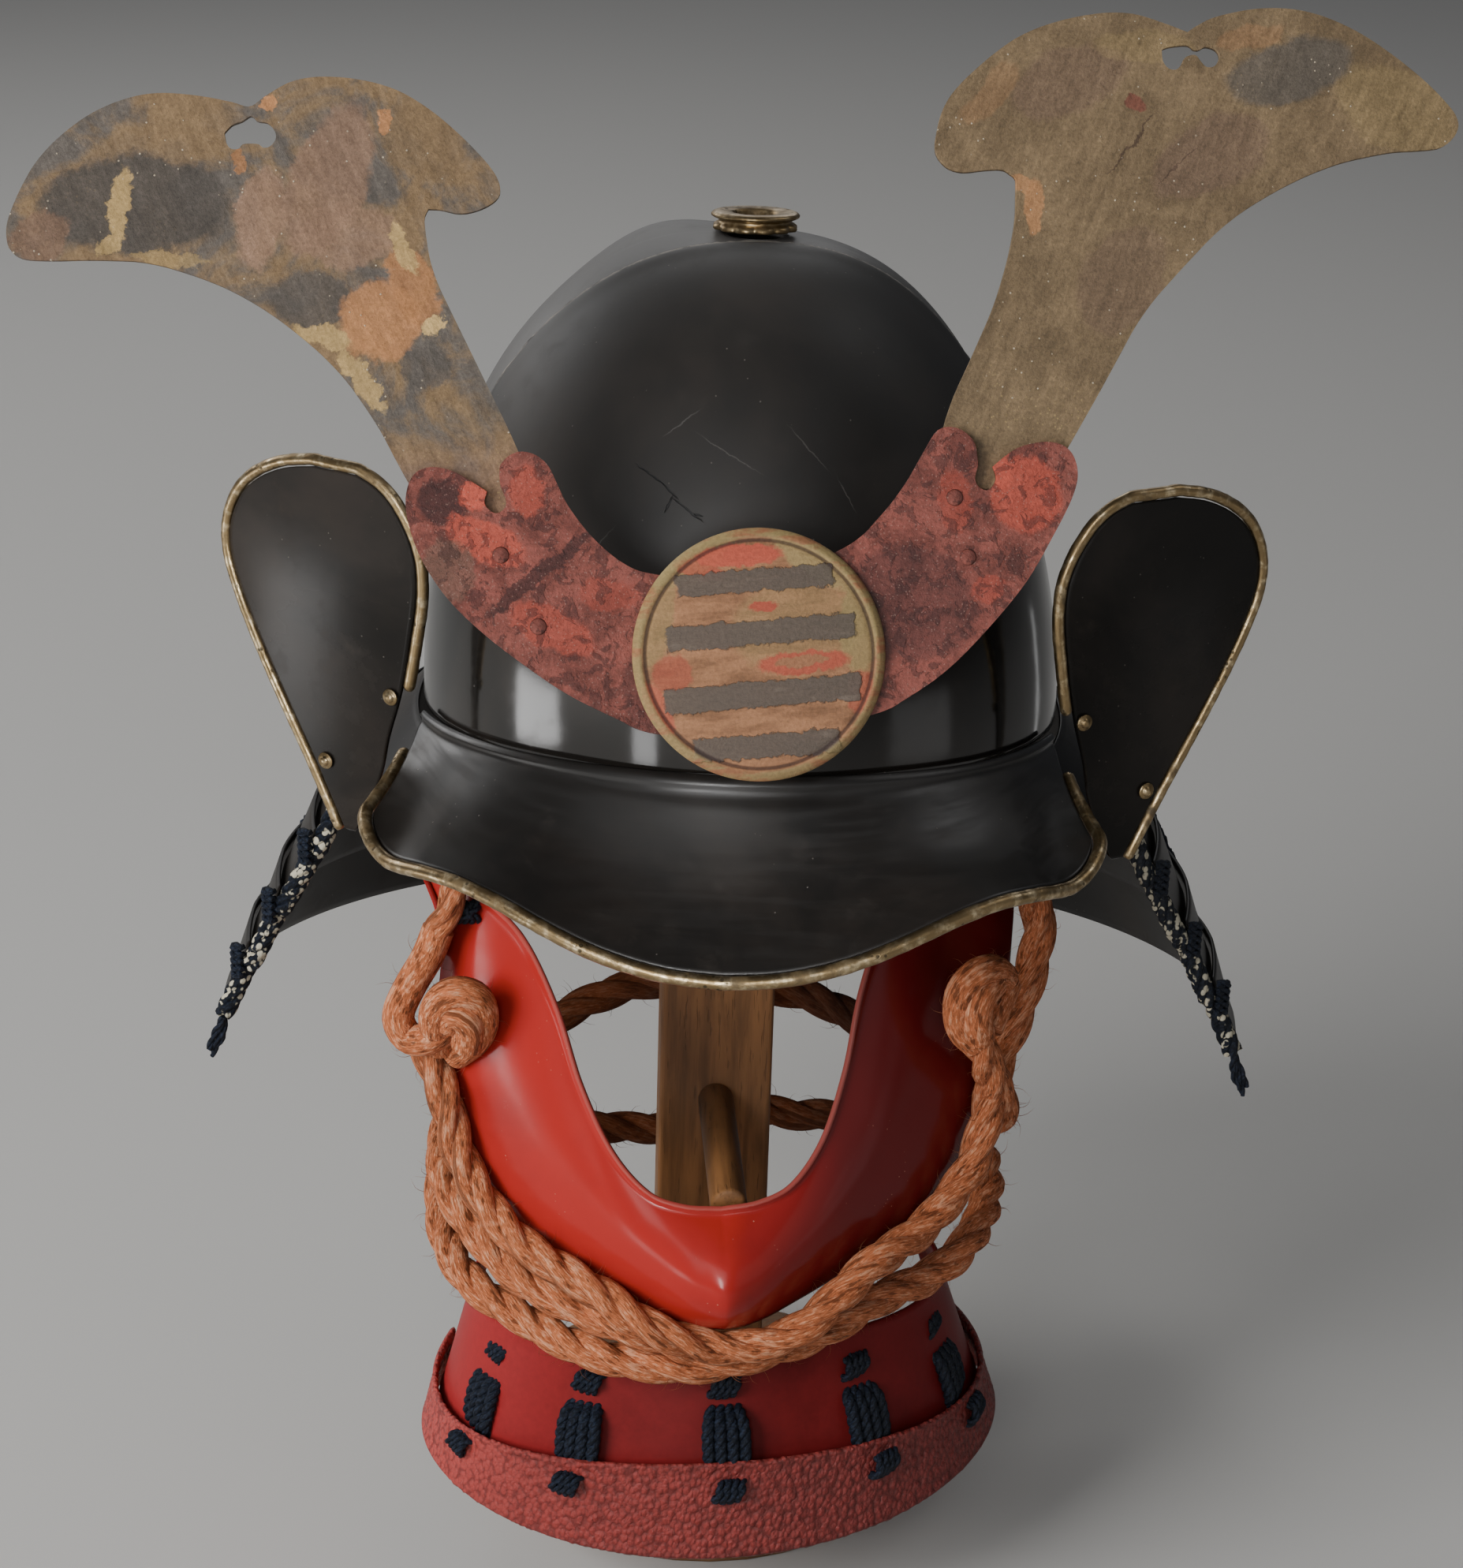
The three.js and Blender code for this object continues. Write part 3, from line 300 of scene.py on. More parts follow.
def clamp(value):
    """A number held between 0 and 1."""
    return min(max(value, 0.0), 1.0)


def smoothstep(value, low, high):
    t = clamp((value - low) / (high - low))
    return t * t * (3 - 2 * t)


def column(rows, name, t):
    """Smooth value of a column of a table at t in 0..1 of its rows."""
    last = len(rows) - 1
    place = clamp(t) * last
    k = min(int(place), last - 1)
    f = place - k

    def at(i):
        return getattr(rows[min(max(i, 0), last)], name)

    before = at(k - 1) if k > 0 else 2 * at(0) - at(1)
    after = at(k + 2) if k + 2 <= last else 2 * at(last) - at(last - 1)
    b, c = at(k), at(k + 1)
    slope, following = (c - before) / 2, (after - b) / 2
    cubic = 2 * (b - c) + slope + following
    return b + slope * f + (3 * (c - b) - 2 * slope - following) * f * f + cubic * f**3


def row_at(rows, name, value):
    """Place among a table's rows, 0..1, where a rising column has this value."""
    last = len(rows) - 1
    k = 0
    while k < last - 1 and getattr(rows[k + 1], name) < value:
        k += 1
    a, b = getattr(rows[k], name), getattr(rows[k + 1], name)
    return (k + (value - a) / (b - a)) / last


def smooth_line(points, step):
    """Evenly spaced points of a smooth line through the given ones."""
    rows = [Vector(p) for p in points]
    ends = [2 * rows[0] - rows[1], *rows, 2 * rows[-1] - rows[-2]]
    fine = []
    for k in range(1, len(ends) - 2):
        a, b, c, d = ends[k - 1 : k + 3]
        for i in range(16):
            t = i / 16
            fine.append(0.5 * (2 * b + (c - a) * t + (2 * a - 5 * b + 4 * c - d) * t * t
                               + (3 * b - a - 3 * c + d) * t**3))
    fine.append(rows[-1])
    along = np.concatenate([[0], np.cumsum([(q - p).length for p, q in zip(fine, fine[1:])])])
    count = max(2, round(along[-1] / step))
    table = np.array([tuple(p) for p in fine])
    places = np.linspace(0, along[-1], count + 1)
    return [Vector([np.interp(s, along, table[:, axis]) for axis in range(3)]) for s in places]


# ------------------------------------------------------------------------ mesh making


def make_object(name, mesh, finish, nodes=(), smooth=True):
    """A finished piece of the object: its material, its body, and the solids it stands for."""
    mesh.name = name
    if smooth is not None:
        mesh.polygons.foreach_set("use_smooth", [smooth] * len(mesh.polygons))
    if finish is not None:
        mesh.materials.clear()
        mesh.materials.append(finish)
    piece = bpy.data.objects.new(name, mesh)
    bpy.context.scene.collection.objects.link(piece)
    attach(piece, "root")
    if nodes:
        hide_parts(*nodes)
    return piece


def mesh_from(points, faces, places=None):
    """A mesh in metres from points in millimetres, with each corner's place on its sheet."""
    mesh = bpy.data.meshes.new("fine")
    mesh.from_pydata([tuple(c * MM for c in p) for p in points], [], faces)
    if places:
        layer = mesh.uv_layers.new(name="sheet")
        flat = [value for face in places for corner in face for value in corner]
        layer.data.foreach_set("uv", flat)
    mesh.validate()
    mesh.update()
    return mesh


def shell_mesh(sheet, across, up, wall, place, loop=False):
    """A wall laid inside a sheet(u, v), u across and v up, with its cut edges rounded.

    A loop closes on itself across; the others have a cut edge all round.
    """
    columns = across if loop else across + 1
    grid = np.array([
        [tuple(place @ sheet(i / across, j / up)) for i in range(columns)] for j in range(up + 1)
    ])
    if loop:
        sideways = np.roll(grid, -1, 1) - np.roll(grid, 1, 1)
    else:
        sideways = np.gradient(grid, axis=1)
    normal = np.cross(sideways, np.gradient(grid, axis=0))
    normal /= np.linalg.norm(normal, axis=2, keepdims=True)
    inside = grid - wall * normal
    half = grid.shape[0] * grid.shape[1]
    points = [*grid.reshape(-1, 3), *inside.reshape(-1, 3)]
    faces, places = [], []

    def add(corners, spots):
        faces.append(corners)
        places.append(spots)

    def spot(i, j):
        return (i / across, j / up)

    def at(i, j):
        return j * columns + i % columns

    for j in range(up):
        for i in range(across):
            ring = [(i, j), (i + 1, j), (i + 1, j + 1), (i, j + 1)]
            add([at(*c) for c in ring], [spot(*c) for c in ring])
            ring.reverse()
            add([half + at(*c) for c in ring], [spot(*c) for c in ring])
    row = range(across + 1)
    if loop:
        borders = [[(i, 0) for i in row], [(i, up) for i in reversed(row)]]
    else:
        rise = range(1, up)
        borders = [[*((i, 0) for i in row), *((across, j) for j in rise),
                    *((i, up) for i in reversed(row)), *((0, j) for j in reversed(rise)), (0, 0)]]
    for border in borders:
        middles = []
        for i, j in border:
            k = at(i, j)
            if middles and at(i, j) == at(*border[0]):
                middles.append(middles[0])
                continue
            inner_j = min(max(j, 1), up - 1)
            inner_i = i % columns if loop else min(max(i, 1), across - 1)
            away = grid[j, i % columns] - grid[inner_j, inner_i]
            away /= np.linalg.norm(away)
            middles.append(len(points))
            points.append((points[k] + points[half + k]) / 2 + away * wall * 0.4)
        for (a, b), (ma, mb) in zip(zip(border, border[1:]), zip(middles, middles[1:])):
            ka, kb = at(*a), at(*b)
            spots = [spot(*b), spot(*a), spot(*a), spot(*b)]
            add([kb, ka, ma, mb], spots)
            add([mb, ma, half + ka, half + kb], spots)
    return mesh_from(points, faces, places)


def sweep_mesh(line, radius, sides):
    """A closed bar along a line. The radius may depend on the share of the way along."""
    size = radius if callable(radius) else (lambda share: radius)
    points, faces, places = [], [], []
    lengths = np.concatenate([[0], np.cumsum([(q - p).length for p, q in zip(line, line[1:])])])
    tangent = (line[1] - line[0]).normalized()
    side = Vector((0.3, 0.2, 1)).cross(tangent).normalized()
    for k, point in enumerate(line):
        ahead, behind = line[min(k + 1, len(line) - 1)], line[max(k - 1, 0)]
        tangent = (ahead - behind).normalized()
        side = (side - tangent * side.dot(tangent)).normalized()
        other = tangent.cross(side)
        r = size(lengths[k] / lengths[-1])
        for s in range(sides):
            a = 2 * pi * s / sides
            points.append(point + side * (r * cos(a)) + other * (r * sin(a)))
    for k in range(len(line) - 1):
        for s in range(sides):
            a, b = k * sides + s, k * sides + (s + 1) % sides
            faces.append([a, b, b + sides, a + sides])
            low, high = lengths[k], lengths[k + 1]
            places.append([(low, s / sides), (low, (s + 1) / sides),
                           (high, (s + 1) / sides), (high, s / sides)])
    for start, centre, turn in ((0, line[0], -1), ((len(line) - 1) * sides, line[-1], 1)):
        points.append(centre + (centre - (line[1] if turn < 0 else line[-2])) * 0.2)
        tip = len(points) - 1
        for s in range(sides):
            ring = [start + s, start + (s + 1) % sides, tip]
            faces.append(ring if turn > 0 else ring[::-1])
            places.append([(lengths[-1] if turn > 0 else 0, 0.5)] * 3)
    return mesh_from(points, faces, places)


def lumpy(radius, waves):
    """A hand-made bar's radius, a little uneven and tapered at its two ends."""

    def size(share):
        unevenness = noise.noise(Vector((share * waves * 0.35, radius, 0.0))) * 0.07
        taper = smoothstep(min(share, 1 - share), -0.004, 0.004)
        return radius * (1 + unevenness) * (0.35 + 0.65 * taper)

    return size


def turned_mesh(profile, around, place):
    """A closed solid turned about a place's axis; its profile starts and ends on the axis."""
    points, spots, faces = [place @ Vector((0, 0, profile[0][1]))], [(0, 0)], []
    for r, z in profile[1:-1]:
        for i in range(around):
            x, y = r * cos(i * 2 * pi / around), r * sin(i * 2 * pi / around)
            points.append(place @ Vector((x, y, z)))
            spots.append((x, y))
    points.append(place @ Vector((0, 0, profile[-1][1])))
    spots.append((0, 0))
    outer = 1 + (len(profile) - 3) * around
    for i in range(around):
        j = (i + 1) % around
        faces.append([0, 1 + i, 1 + j])
        for k in range(1, outer, around):
            faces.append([k + i, k + around + i, k + around + j, k + j])
        faces.append([len(points) - 1, outer + j, outer + i])
    return mesh_from(points, faces, [[spots[c] for c in face] for face in faces])


def dome_mesh(place, radius, height, collar=0.0):
    """A round nail head on its place, with a flat collar where one is given."""
    profile = [(0.0, height), (0.35, height * 0.93), (0.65, height * 0.72), (0.88, height * 0.38),
               (1.0, 0.0)]
    rows = [(r * radius, z) for r, z in profile]
    if collar:
        rows = [(r * 0.62, z + 0.4) for r, z in rows] + [(collar, 0.5), (collar + 0.2, 0.0)]
    return turned_mesh([*rows, (0.0, 0.0)], 16, place)


def standing(point, normal):
    """A place at a point that stands along a normal."""
    turn = normal.to_track_quat("Z", "Y").to_matrix().to_4x4()
    return Matrix.Translation(point) @ turn


def joined_mesh(meshes):
    """Several meshes as one, each with its own material."""
    things = []
    for mesh in meshes:
        thing = bpy.data.objects.new("part", mesh)
        bpy.context.scene.collection.objects.link(thing)
        things.append(thing)
    with bpy.context.temp_override(active_object=things[0], selected_editable_objects=things,
                                   object=things[0], selected_objects=things):
        bpy.ops.object.join()
    mesh = things[0].data.copy()
    bpy.data.objects.remove(things[0])
    return mesh


def worn_copy(node, bevel, place, segments=2):
    """A copy of a solid with its cut edges rounded, laid out flat in the frame of its place."""
    mesh = bpy.data.meshes.new(node)
    work = bmesh.new()
    work.from_mesh(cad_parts[node].data)
    bmesh.ops.remove_doubles(work, verts=work.verts, dist=1e-5)
    bmesh.ops.dissolve_limit(work, angle_limit=radians(0.6), verts=work.verts, edges=work.edges)
    sharp = [e for e in work.edges if len(e.link_faces) == 2 and e.calc_face_angle(0) > radians(38)]
    bmesh.ops.bevel(work, geom=sharp, offset=bevel, segments=segments, profile=0.5,
                    affect="EDGES", clamp_overlap=True)
    bmesh.ops.triangulate(work, faces=[f for f in work.faces if len(f.verts) > 4])
    bmesh.ops.recalc_face_normals(work, faces=work.faces)
    layer = work.loops.layers.uv.new("sheet")
    back = place.inverted()
    for face in work.faces:
        for corner in face.loops:
            local = back @ (corner.vert.co / MM)
            corner[layer].uv = (local.x, local.y)
    work.to_mesh(mesh)
    work.free()
    return mesh


def solid_outlines(node, place):
    """The closed outlines of a flat solid's front in the frame of its place, and its z range."""
    work = bmesh.new()
    work.from_mesh(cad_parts[node].data)
    bmesh.ops.remove_doubles(work, verts=work.verts, dist=1e-5)
    back, front = place.inverted(), (place.to_3x3() @ Vector((0, 0, 1)))
    spot = {v: back @ (v.co / MM) for v in work.verts}
    faces = [f for f in work.faces if f.normal.dot(front) > 0.9]
    ways = {}
    for face in faces:
        for corner in face.loops:
            if sum(other in faces for other in corner.edge.link_faces) == 1:
                ways[corner.vert] = corner.link_loop_next.vert
    outlines = []
    while ways:
        first, now = ways.popitem()
        outline = [first]
        while now is not first:
            outline.append(now)
            now = ways.pop(now)
        outlines.append([spot[v].xy.to_3d() for v in outline])
    depths = [p.z for p in spot.values()]
    work.free()
    return outlines, (min(depths), max(depths))


def smooth_outline(points, step, bend):
    """A closed flat outline made finer and smooth, apart from its sharp corners."""
    ring = [p for p, q in zip(points, points[1:] + points[:1]) if (q - p).length > 0.4]
    count = len(ring)

    def turned(i):
        return (ring[i] - ring[i - 1]).angle(ring[(i + 1) % count] - ring[i]) > bend

    corners = [i for i in range(count) if turned(i)] or [0]
    fine = []
    for start, end in zip(corners, corners[1:] + [corners[0] + count]):
        stretch = [ring[i % count] for i in range(start, end + 1)]
        fine += smooth_line(stretch, step)[:-1]
    return fine


def plate_mesh(outlines, depths, bevel, place):
    """A flat plate with rounded edges between closed outlines, which may hold holes."""
    curve = bpy.data.curves.new("outline", "CURVE")
    curve.dimensions, curve.fill_mode = "2D", "BOTH"
    curve.bevel_depth, curve.bevel_resolution, curve.offset = bevel, 2, -bevel
    curve.extrude = (depths[1] - depths[0]) / 2 - bevel
    for outline in outlines:
        spline = curve.splines.new("POLY")
        spline.points.add(len(outline) - 1)
        spline.points.foreach_set("co", [c for p in outline for c in (p.x, p.y, 0, 1)])
        spline.use_cyclic_u = True
    thing = bpy.data.objects.new("outline", curve)
    bpy.context.scene.collection.objects.link(thing)
    bpy.context.view_layer.update()
    seen = thing.evaluated_get(bpy.context.evaluated_depsgraph_get())
    mesh = bpy.data.meshes.new_from_object(seen)
    bpy.data.objects.remove(thing)
    work = bmesh.new()
    work.from_mesh(mesh)
    bmesh.ops.remove_doubles(work, verts=work.verts, dist=2e-3)
    bmesh.ops.recalc_face_normals(work, faces=work.faces)
    layer = work.loops.layers.uv.get("sheet") or work.loops.layers.uv.new("sheet")
    for face in work.faces:
        face.smooth = abs(face.normal.z) < 0.999
        for corner in face.loops:
            corner[layer].uv = corner.vert.co.xy
    middle = Vector((0, 0, (depths[0] + depths[1]) / 2))
    for vert in work.verts:
        vert.co = (place @ (vert.co + middle)) * MM
    work.to_mesh(mesh)
    work.free()
    return mesh


# ------------------------------------------------------------------- shapes of the parts


def rim_z(angle):
    """Height of the bowl's rim: raised over the brow, level at the sides and back."""
    return BOWL.front_rise * max(0.0, cos(angle)) ** 1.3


def rim_plan(angle, out):
    """Point of the rim's plan pushed outwards; angles run from the front to the right."""
    depth = BOWL.front if cos(angle) > 0 else BOWL.back
    return Vector(((BOWL.half_width + out) * sin(angle), -(depth + out) * cos(angle), 0))


def bowl_point(angle, rise):
    """The bowl's outside: angle around, and rise from 0 at the rim to 1 at the hole."""
    top = math.acos((BOWL.hole / BOWL.half_width) ** (1 / BOWL.fullness))
    climb = rise * top
    p = rim_plan(angle, 0) * cos(climb) ** BOWL.fullness
    front = 1 - smoothstep(abs(p.x), *PLATE_SIDE)
    plate = front if cos(angle) > 0 else 0
    p *= 1 + plate * BOWL.plate_step / BOWL.front
    p.y += BOWL.apex_back * sin(climb) ** 2
    p.x -= BOWL.lopside * sin(2 * climb) ** 2
    p.z = mix(rim_z(angle), BOWL.height, sin(climb))
    p.z += BOWL.crown_tilt * (BOWL.apex_back - p.y) * sin(climb) ** 6
    p.z += LOBE.rise * exp(-(((p.x - LOBE.x) / LOBE.wide) ** 2 + ((p.y - LOBE.y) / LOBE.deep) ** 2))
    return p


def plated_bowl_point(angle, rise):
    """The same with the front plate's rear edge standing over the crown behind it."""
    p, rear = bowl_point(angle, rise), PLATE_REAR
    edge = rear.y + rear.slant * p.x
    in_front = 1 - smoothstep(p.y, edge - rear.before, edge + rear.after)
    rolled = exp(-(((p.y - edge + rear.roll_in) / rear.roll_wide) ** 2))
    height = (in_front + rear.roll * rolled * in_front) * sizes().plate_step / MM
    fade = smoothstep(p.z, *PLATE_FADE)
    outward = Vector((p.x, p.y, p.z - BULGE_CENTRE)).normalized()
    return p + outward * ((height - rear.sunk) * fade)


def brim_point(u, v):
    """Brim sheet: u from the left corner to the right one, v from the lower edge to the bowl."""
    share = 2 * u - 1
    angle = share * BRIM.spread
    top = rim_plan(angle, BRIM.proud)
    top.z = rim_z(angle) + BRIM.seat
    turn = share * BRIM_PLAN.spread
    low = Vector((
        BRIM_PLAN.half_width * sin(turn),
        BRIM_PLAN.middle - BRIM_PLAN.front * cos(turn),
        column(BRIM_EDGE, "z", row_at(BRIM_EDGE, "share", abs(share))),
    ))
    dip = BRIM.sag * sin(pi * v) * (1 - 0.5 * share**2)
    return low.lerp(top, v) + Vector((-dip * 0.5 * sin(angle), dip * 0.5 * cos(angle), -dip * 0.8))


def rounded_brim_point(u, v):
    """The brim with its two lower corners rounded off."""
    near = max(0.0, (abs(2 * u - 1) - BRIM.corner) / (1 - BRIM.corner))
    trim = BRIM.trim * (1 - sqrt(max(0.0, 1 - near**2)))
    return brim_point(u, mix(trim, 1, v))


def ear_place(s, z):
    """The point s across and z up in a turned-back plate, bowed towards the front."""
    bow = EAR.bow * (1 - ((s - EAR.middle) / EAR.half) ** 2)
    c, n = cos(EAR.turn), sin(EAR.turn)
    return Vector((EAR.inner + s * c + bow * n, EAR.front + s * n - bow * c, z))


def ear_point(u, v):
    """A turned-back plate's front: u across from its inner edge, v up from its tip."""
    s = mix(column(EAR_ROWS, "start", v), column(EAR_ROWS, "end", v), u)
    return ear_place(s, column(EAR_ROWS, "z", v))


def skirt_point(angle, out, drop):
    """Point beside the rim: out from it and below it, dropping further towards the back."""
    p = rim_plan(angle, out)
    p.z = rim_z(angle) * LAME.front_rise - drop * (1 + LAME.rear_drop * max(0.0, -cos(angle)))
    return p


def mask_point(u, v):
    """The half face guard: u from the left ear round the chin, v from the lower edge up."""
    share = 2 * u - 1
    sign = -1 if share < 0 else 1

    def get(name):
        return column(MASK_ROWS, name, abs(share))

    low = Vector((sign * get("low_x"), get("low_y"), get("low_z")))
    opening = Vector((sign * get("open_x"), get("open_y"), get("open_z")))
    p = low.lerp(opening, v)
    out = Vector((p.x, p.y + MASK.middle, 0)).normalized()
    bulge = column(MASK_ROWS, "bulge", sqrt(share**2 + MASK.soft**2))
    return p + out * (bulge * sin(pi * min(1, v * 1.05)) ** 0.9)


def throat_point(lame, angle, v):
    """Point of a throat lame: angle from the front, v from the lower edge up."""

    def edge(name):
        return mix(getattr(lame.low, name), getattr(lame.top, name), v)

    z = edge("z") - edge("side") * sin(angle) ** 2
    return Vector((edge("x") * sin(angle), THROAT.middle - edge("y") * cos(angle), z))


def mirrored(sheet):
    """The same sheet on the left side."""

    def left(u, v):
        p = sheet(1 - u, v)
        return Vector((-p.x, p.y, p.z))

    return left


def sheet_normal(sheet, u, v):
    """Outward unit normal of a sheet: across x up."""
    step = 1e-3
    across = sheet(min(1, u + step), v) - sheet(max(0, u - step), v)
    up = sheet(u, min(1, v + step)) - sheet(u, max(0, v - step))
    return across.cross(up).normalized()


def beside_edge(sheet, walk, wall, radius):
    """Places for a bar just outside a sheet's edge, walked with the sheet on the left hand."""
    line = []
    for k, (u, v) in enumerate(walk):
        ahead, behind = walk[min(k + 1, len(walk) - 1)], walk[max(k - 1, 0)]
        along = (sheet(*ahead) - sheet(*behind)).normalized()
        normal = sheet_normal(sheet, u, v)
        out = along.cross(normal).normalized()
        line.append(sheet(u, v) - normal * (wall / 2) + out * (radius + 2 * GAP))
    return line


# --------------------------------------------------------------- nodes: trees and maths


class Value:
    """A number that varies over a surface, with the sums that the finishes use."""

    def __init__(self, tree, socket):
        self.tree = tree
        self.socket = socket

    def maths(self, operation, first, second):
        settings = {"operation": operation}
        return self.tree.value("ShaderNodeMath", settings, {0: first, 1: second})

    def __add__(self, other):
        return self.maths("ADD", self, other)

    def __sub__(self, other):
        return self.maths("SUBTRACT", self, other)

    def __rsub__(self, other):
        return self.maths("SUBTRACT", other, self)

    def __mul__(self, other):
        return self.maths("MULTIPLY", self, other)

    def __truediv__(self, other):
        return self.maths("DIVIDE", self, other)

    def __pow__(self, other):
        return self.maths("POWER", self, other)

    __radd__ = __add__
    __rmul__ = __mul__

    def absolute(self):
        return self.maths("ABSOLUTE", self, 0.0)

    def at_least(self, other):
        return self.maths("MAXIMUM", self, other)

    def between(self, low, high):
        """0 below low, 1 above high, smooth between; the other way round when low > high."""
        settings = {"interpolation_type": "SMOOTHSTEP", "clamp": True}
        ends = {"From Min": low, "From Max": high, "To Min": 0.0, "To Max": 1.0}
        if low > high:
            ends = {"From Min": high, "From Max": low, "To Min": 1.0, "To Max": 0.0}
        return self.tree.value("ShaderNodeMapRange", settings, {"Value": self, **ends})


class Tree:
    """Short words for building a node tree."""

    def __init__(self, nodes):
        self.nodes = nodes

    def node(self, kind, settings=None, sockets=None):
        """A node: its settings first, then the values or links of its sockets."""
        node = self.nodes.nodes.new(kind)
        for name, value in (settings or {}).items():
            setattr(node, name, value)
        for name, value in (sockets or {}).items():
            self.feed(node.inputs[name], value)
        return node

    def feed(self, socket, value):
        """Links a varying value to a socket, or sets a constant on it."""
        source = getattr(value, "socket", value)
        if isinstance(source, bpy.types.NodeSocket):
            self.nodes.links.new(source, socket)
        elif socket.type == "RGBA":
            socket.default_value = (*source, 1.0)
        else:
            socket.default_value = source

    def value(self, kind, settings=None, sockets=None):
        """A node's first output as a value."""
        return Value(self, self.node(kind, settings, sockets).outputs[0])


class Finish(Tree):
    """A material under construction, on Object coordinates or on a piece's own sheet."""

    def __init__(self, name, sheet=False):
        self.material = bpy.data.materials.new(name)
        self.material.use_nodes = True
        super().__init__(self.material.node_tree)
        self.shader = self.nodes.nodes["Principled BSDF"]
        self.where = self.node("ShaderNodeTexCoord").outputs["Object"]
        if sheet:
            self.sheet = self.node("ShaderNodeUVMap", {"uv_map": "sheet"}).outputs[0]
            self.u, self.v, _ = self.axes(self.sheet)

    def moved(self, stretch=(1, 1, 1), turn=(0, 0, 0), shift=(0, 0, 0), source=None):
        """The coordinates in a turned frame, in which patterns come out this much longer."""
        sockets = {"Vector": source or self.where, "Scale": stretch, "Location": shift,
                   "Rotation": tuple(radians(a) for a in turn)}
        return self.node("ShaderNodeMapping", {"vector_type": "TEXTURE"}, sockets).outputs[0]

    def sheet_in_metres(self):
        """The coordinates of a sheet that is laid out in millimetres."""
        return self.moved((1 / MM, 1 / MM, 1 / MM), source=self.sheet)

    def ragged(self, reach, scale, source):
        """The coordinates pushed about, so that what is drawn on them has a ragged edge."""
        sockets = {"Vector": source, "Scale": scale, "Detail": 5.0, "Roughness": 0.7}
        pattern = self.node("ShaderNodeTexNoise", None, sockets).outputs["Color"]
        centred = self.node("ShaderNodeVectorMath", {"operation": "SUBTRACT"},
                            {0: pattern, 1: (0.5, 0.5, 0.5)}).outputs[0]
        push = self.node("ShaderNodeVectorMath", {"operation": "SCALE"},
                         {0: centred, "Scale": reach}).outputs[0]
        return self.node("ShaderNodeVectorMath", {"operation": "ADD"}, {0: source, 1: push}).outputs[0]

    def patch(self, at, half, turn, source, soft=0.12):
        """1 inside an ellipse on the sheet, 0 outside: its middle, half sizes and turn."""
        local = self.moved((*half, 1), (0, 0, turn), (*at, 0), source)
        level = self.node("ShaderNodeVectorMath", {"operation": "MULTIPLY"},
                          {0: local, 1: (1, 1, 0)}).outputs[0]
        far = self.node("ShaderNodeVectorMath", {"operation": "LENGTH"}, {0: level})
        return Value(self, far.outputs["Value"]).between(1 + soft, 1 - soft)

    def painted(self, base, rows, tones, source):
        """The base colour with a table's patches over it, in their order."""
        for row in rows:
            mark = self.patch(row.at, row.half, row.turn, source)
            base = self.blend(base, rgb(tones[row.tone], row.gain), mark * row.strength)
        return base

    def grained(self, base, pattern, amount):
        """The base colour made lighter and darker by a pattern around 0.5."""
        tone = ((pattern - 0.5) * (2 * amount) + 1.0).at_least(0.0)
        return self.blend(base, tone, 1.0, "MULTIPLY")

    def noise(self, scale, detail=3.0, rough=0.55, warp=0.0, source=None):
        """Soft noise, 0 to 1, with about `scale` blotches to the metre."""
        sockets = {"Vector": source or self.where, "Scale": scale, "Detail": detail,
                   "Roughness": rough, "Distortion": warp}
        return self.value("ShaderNodeTexNoise", None, sockets)

    def cells(self, scale, source=None):
        """Distance within scattered cells, with about `scale` of them to the metre."""
        sockets = {"Vector": source or self.where, "Scale": scale}
        return self.value("ShaderNodeTexVoronoi", None, sockets)

    def axes(self, source):
        """The parts of a place across, forwards and up, each as a value."""
        split = self.node("ShaderNodeSeparateXYZ", None, {0: source})
        return [Value(self, part) for part in split.outputs]

    def blend(self, first, second, factor, mode="MIX"):
        """A colour between two colours."""
        settings = {"data_type": "RGBA", "blend_type": mode}
        return self.node("ShaderNodeMix", settings, {0: factor, 6: first, 7: second}).outputs[2]

    def done(self, base, roughness, height=None, metallic=0.0, specular=0.5):
        """Links the surface's colour, roughness and relief in millimetres, and sets the rest."""
        sources = {"Base Color": base, "Roughness": roughness, "Metallic": metallic,
                   "Specular IOR Level": specular}
        for name, source in sources.items():
            self.feed(self.shader.inputs[name], source)
        if height is not None:
            bump = self.node("ShaderNodeBump", None, {"Height": height, "Distance": MM})
            self.nodes.links.new(bump.outputs[0], self.shader.inputs["Normal"])
        return self.material


def rgb(colour_value, gain=1.0):
    """A colour property as a plain colour, made lighter or darker."""
    return tuple(clamp(c * gain) for c in colour_value)


# --------------------------------------------------------------------------- finishes


# the heights, in metres, between which the bowl's lacquer turns from glossy to dull
CROWN_DULL = (0.375, 0.42)
# the crack in the lacquer over the brow: middle across and up, half length, turn
CRACKS = table(
    "at half turn",
    ((-32, 437.5), 4.2, -27), ((-26.3, 434), 3.4, -38), ((-20.5, 429), 4.8, -33),
    ((-26.2, 430), 2.4, 62), ((-17.2, 427.8), 1.2, -12),
)
# fine straight scratches, in the same measures
SCRATCHES = table(
    "at half turn",
    ((17.5, 446), 8, -45), ((-7, 444.5), 10, -27), ((-22, 452), 6, 35), ((30, 432), 5, -60),
    ((-48, 415), 7, 50),
)


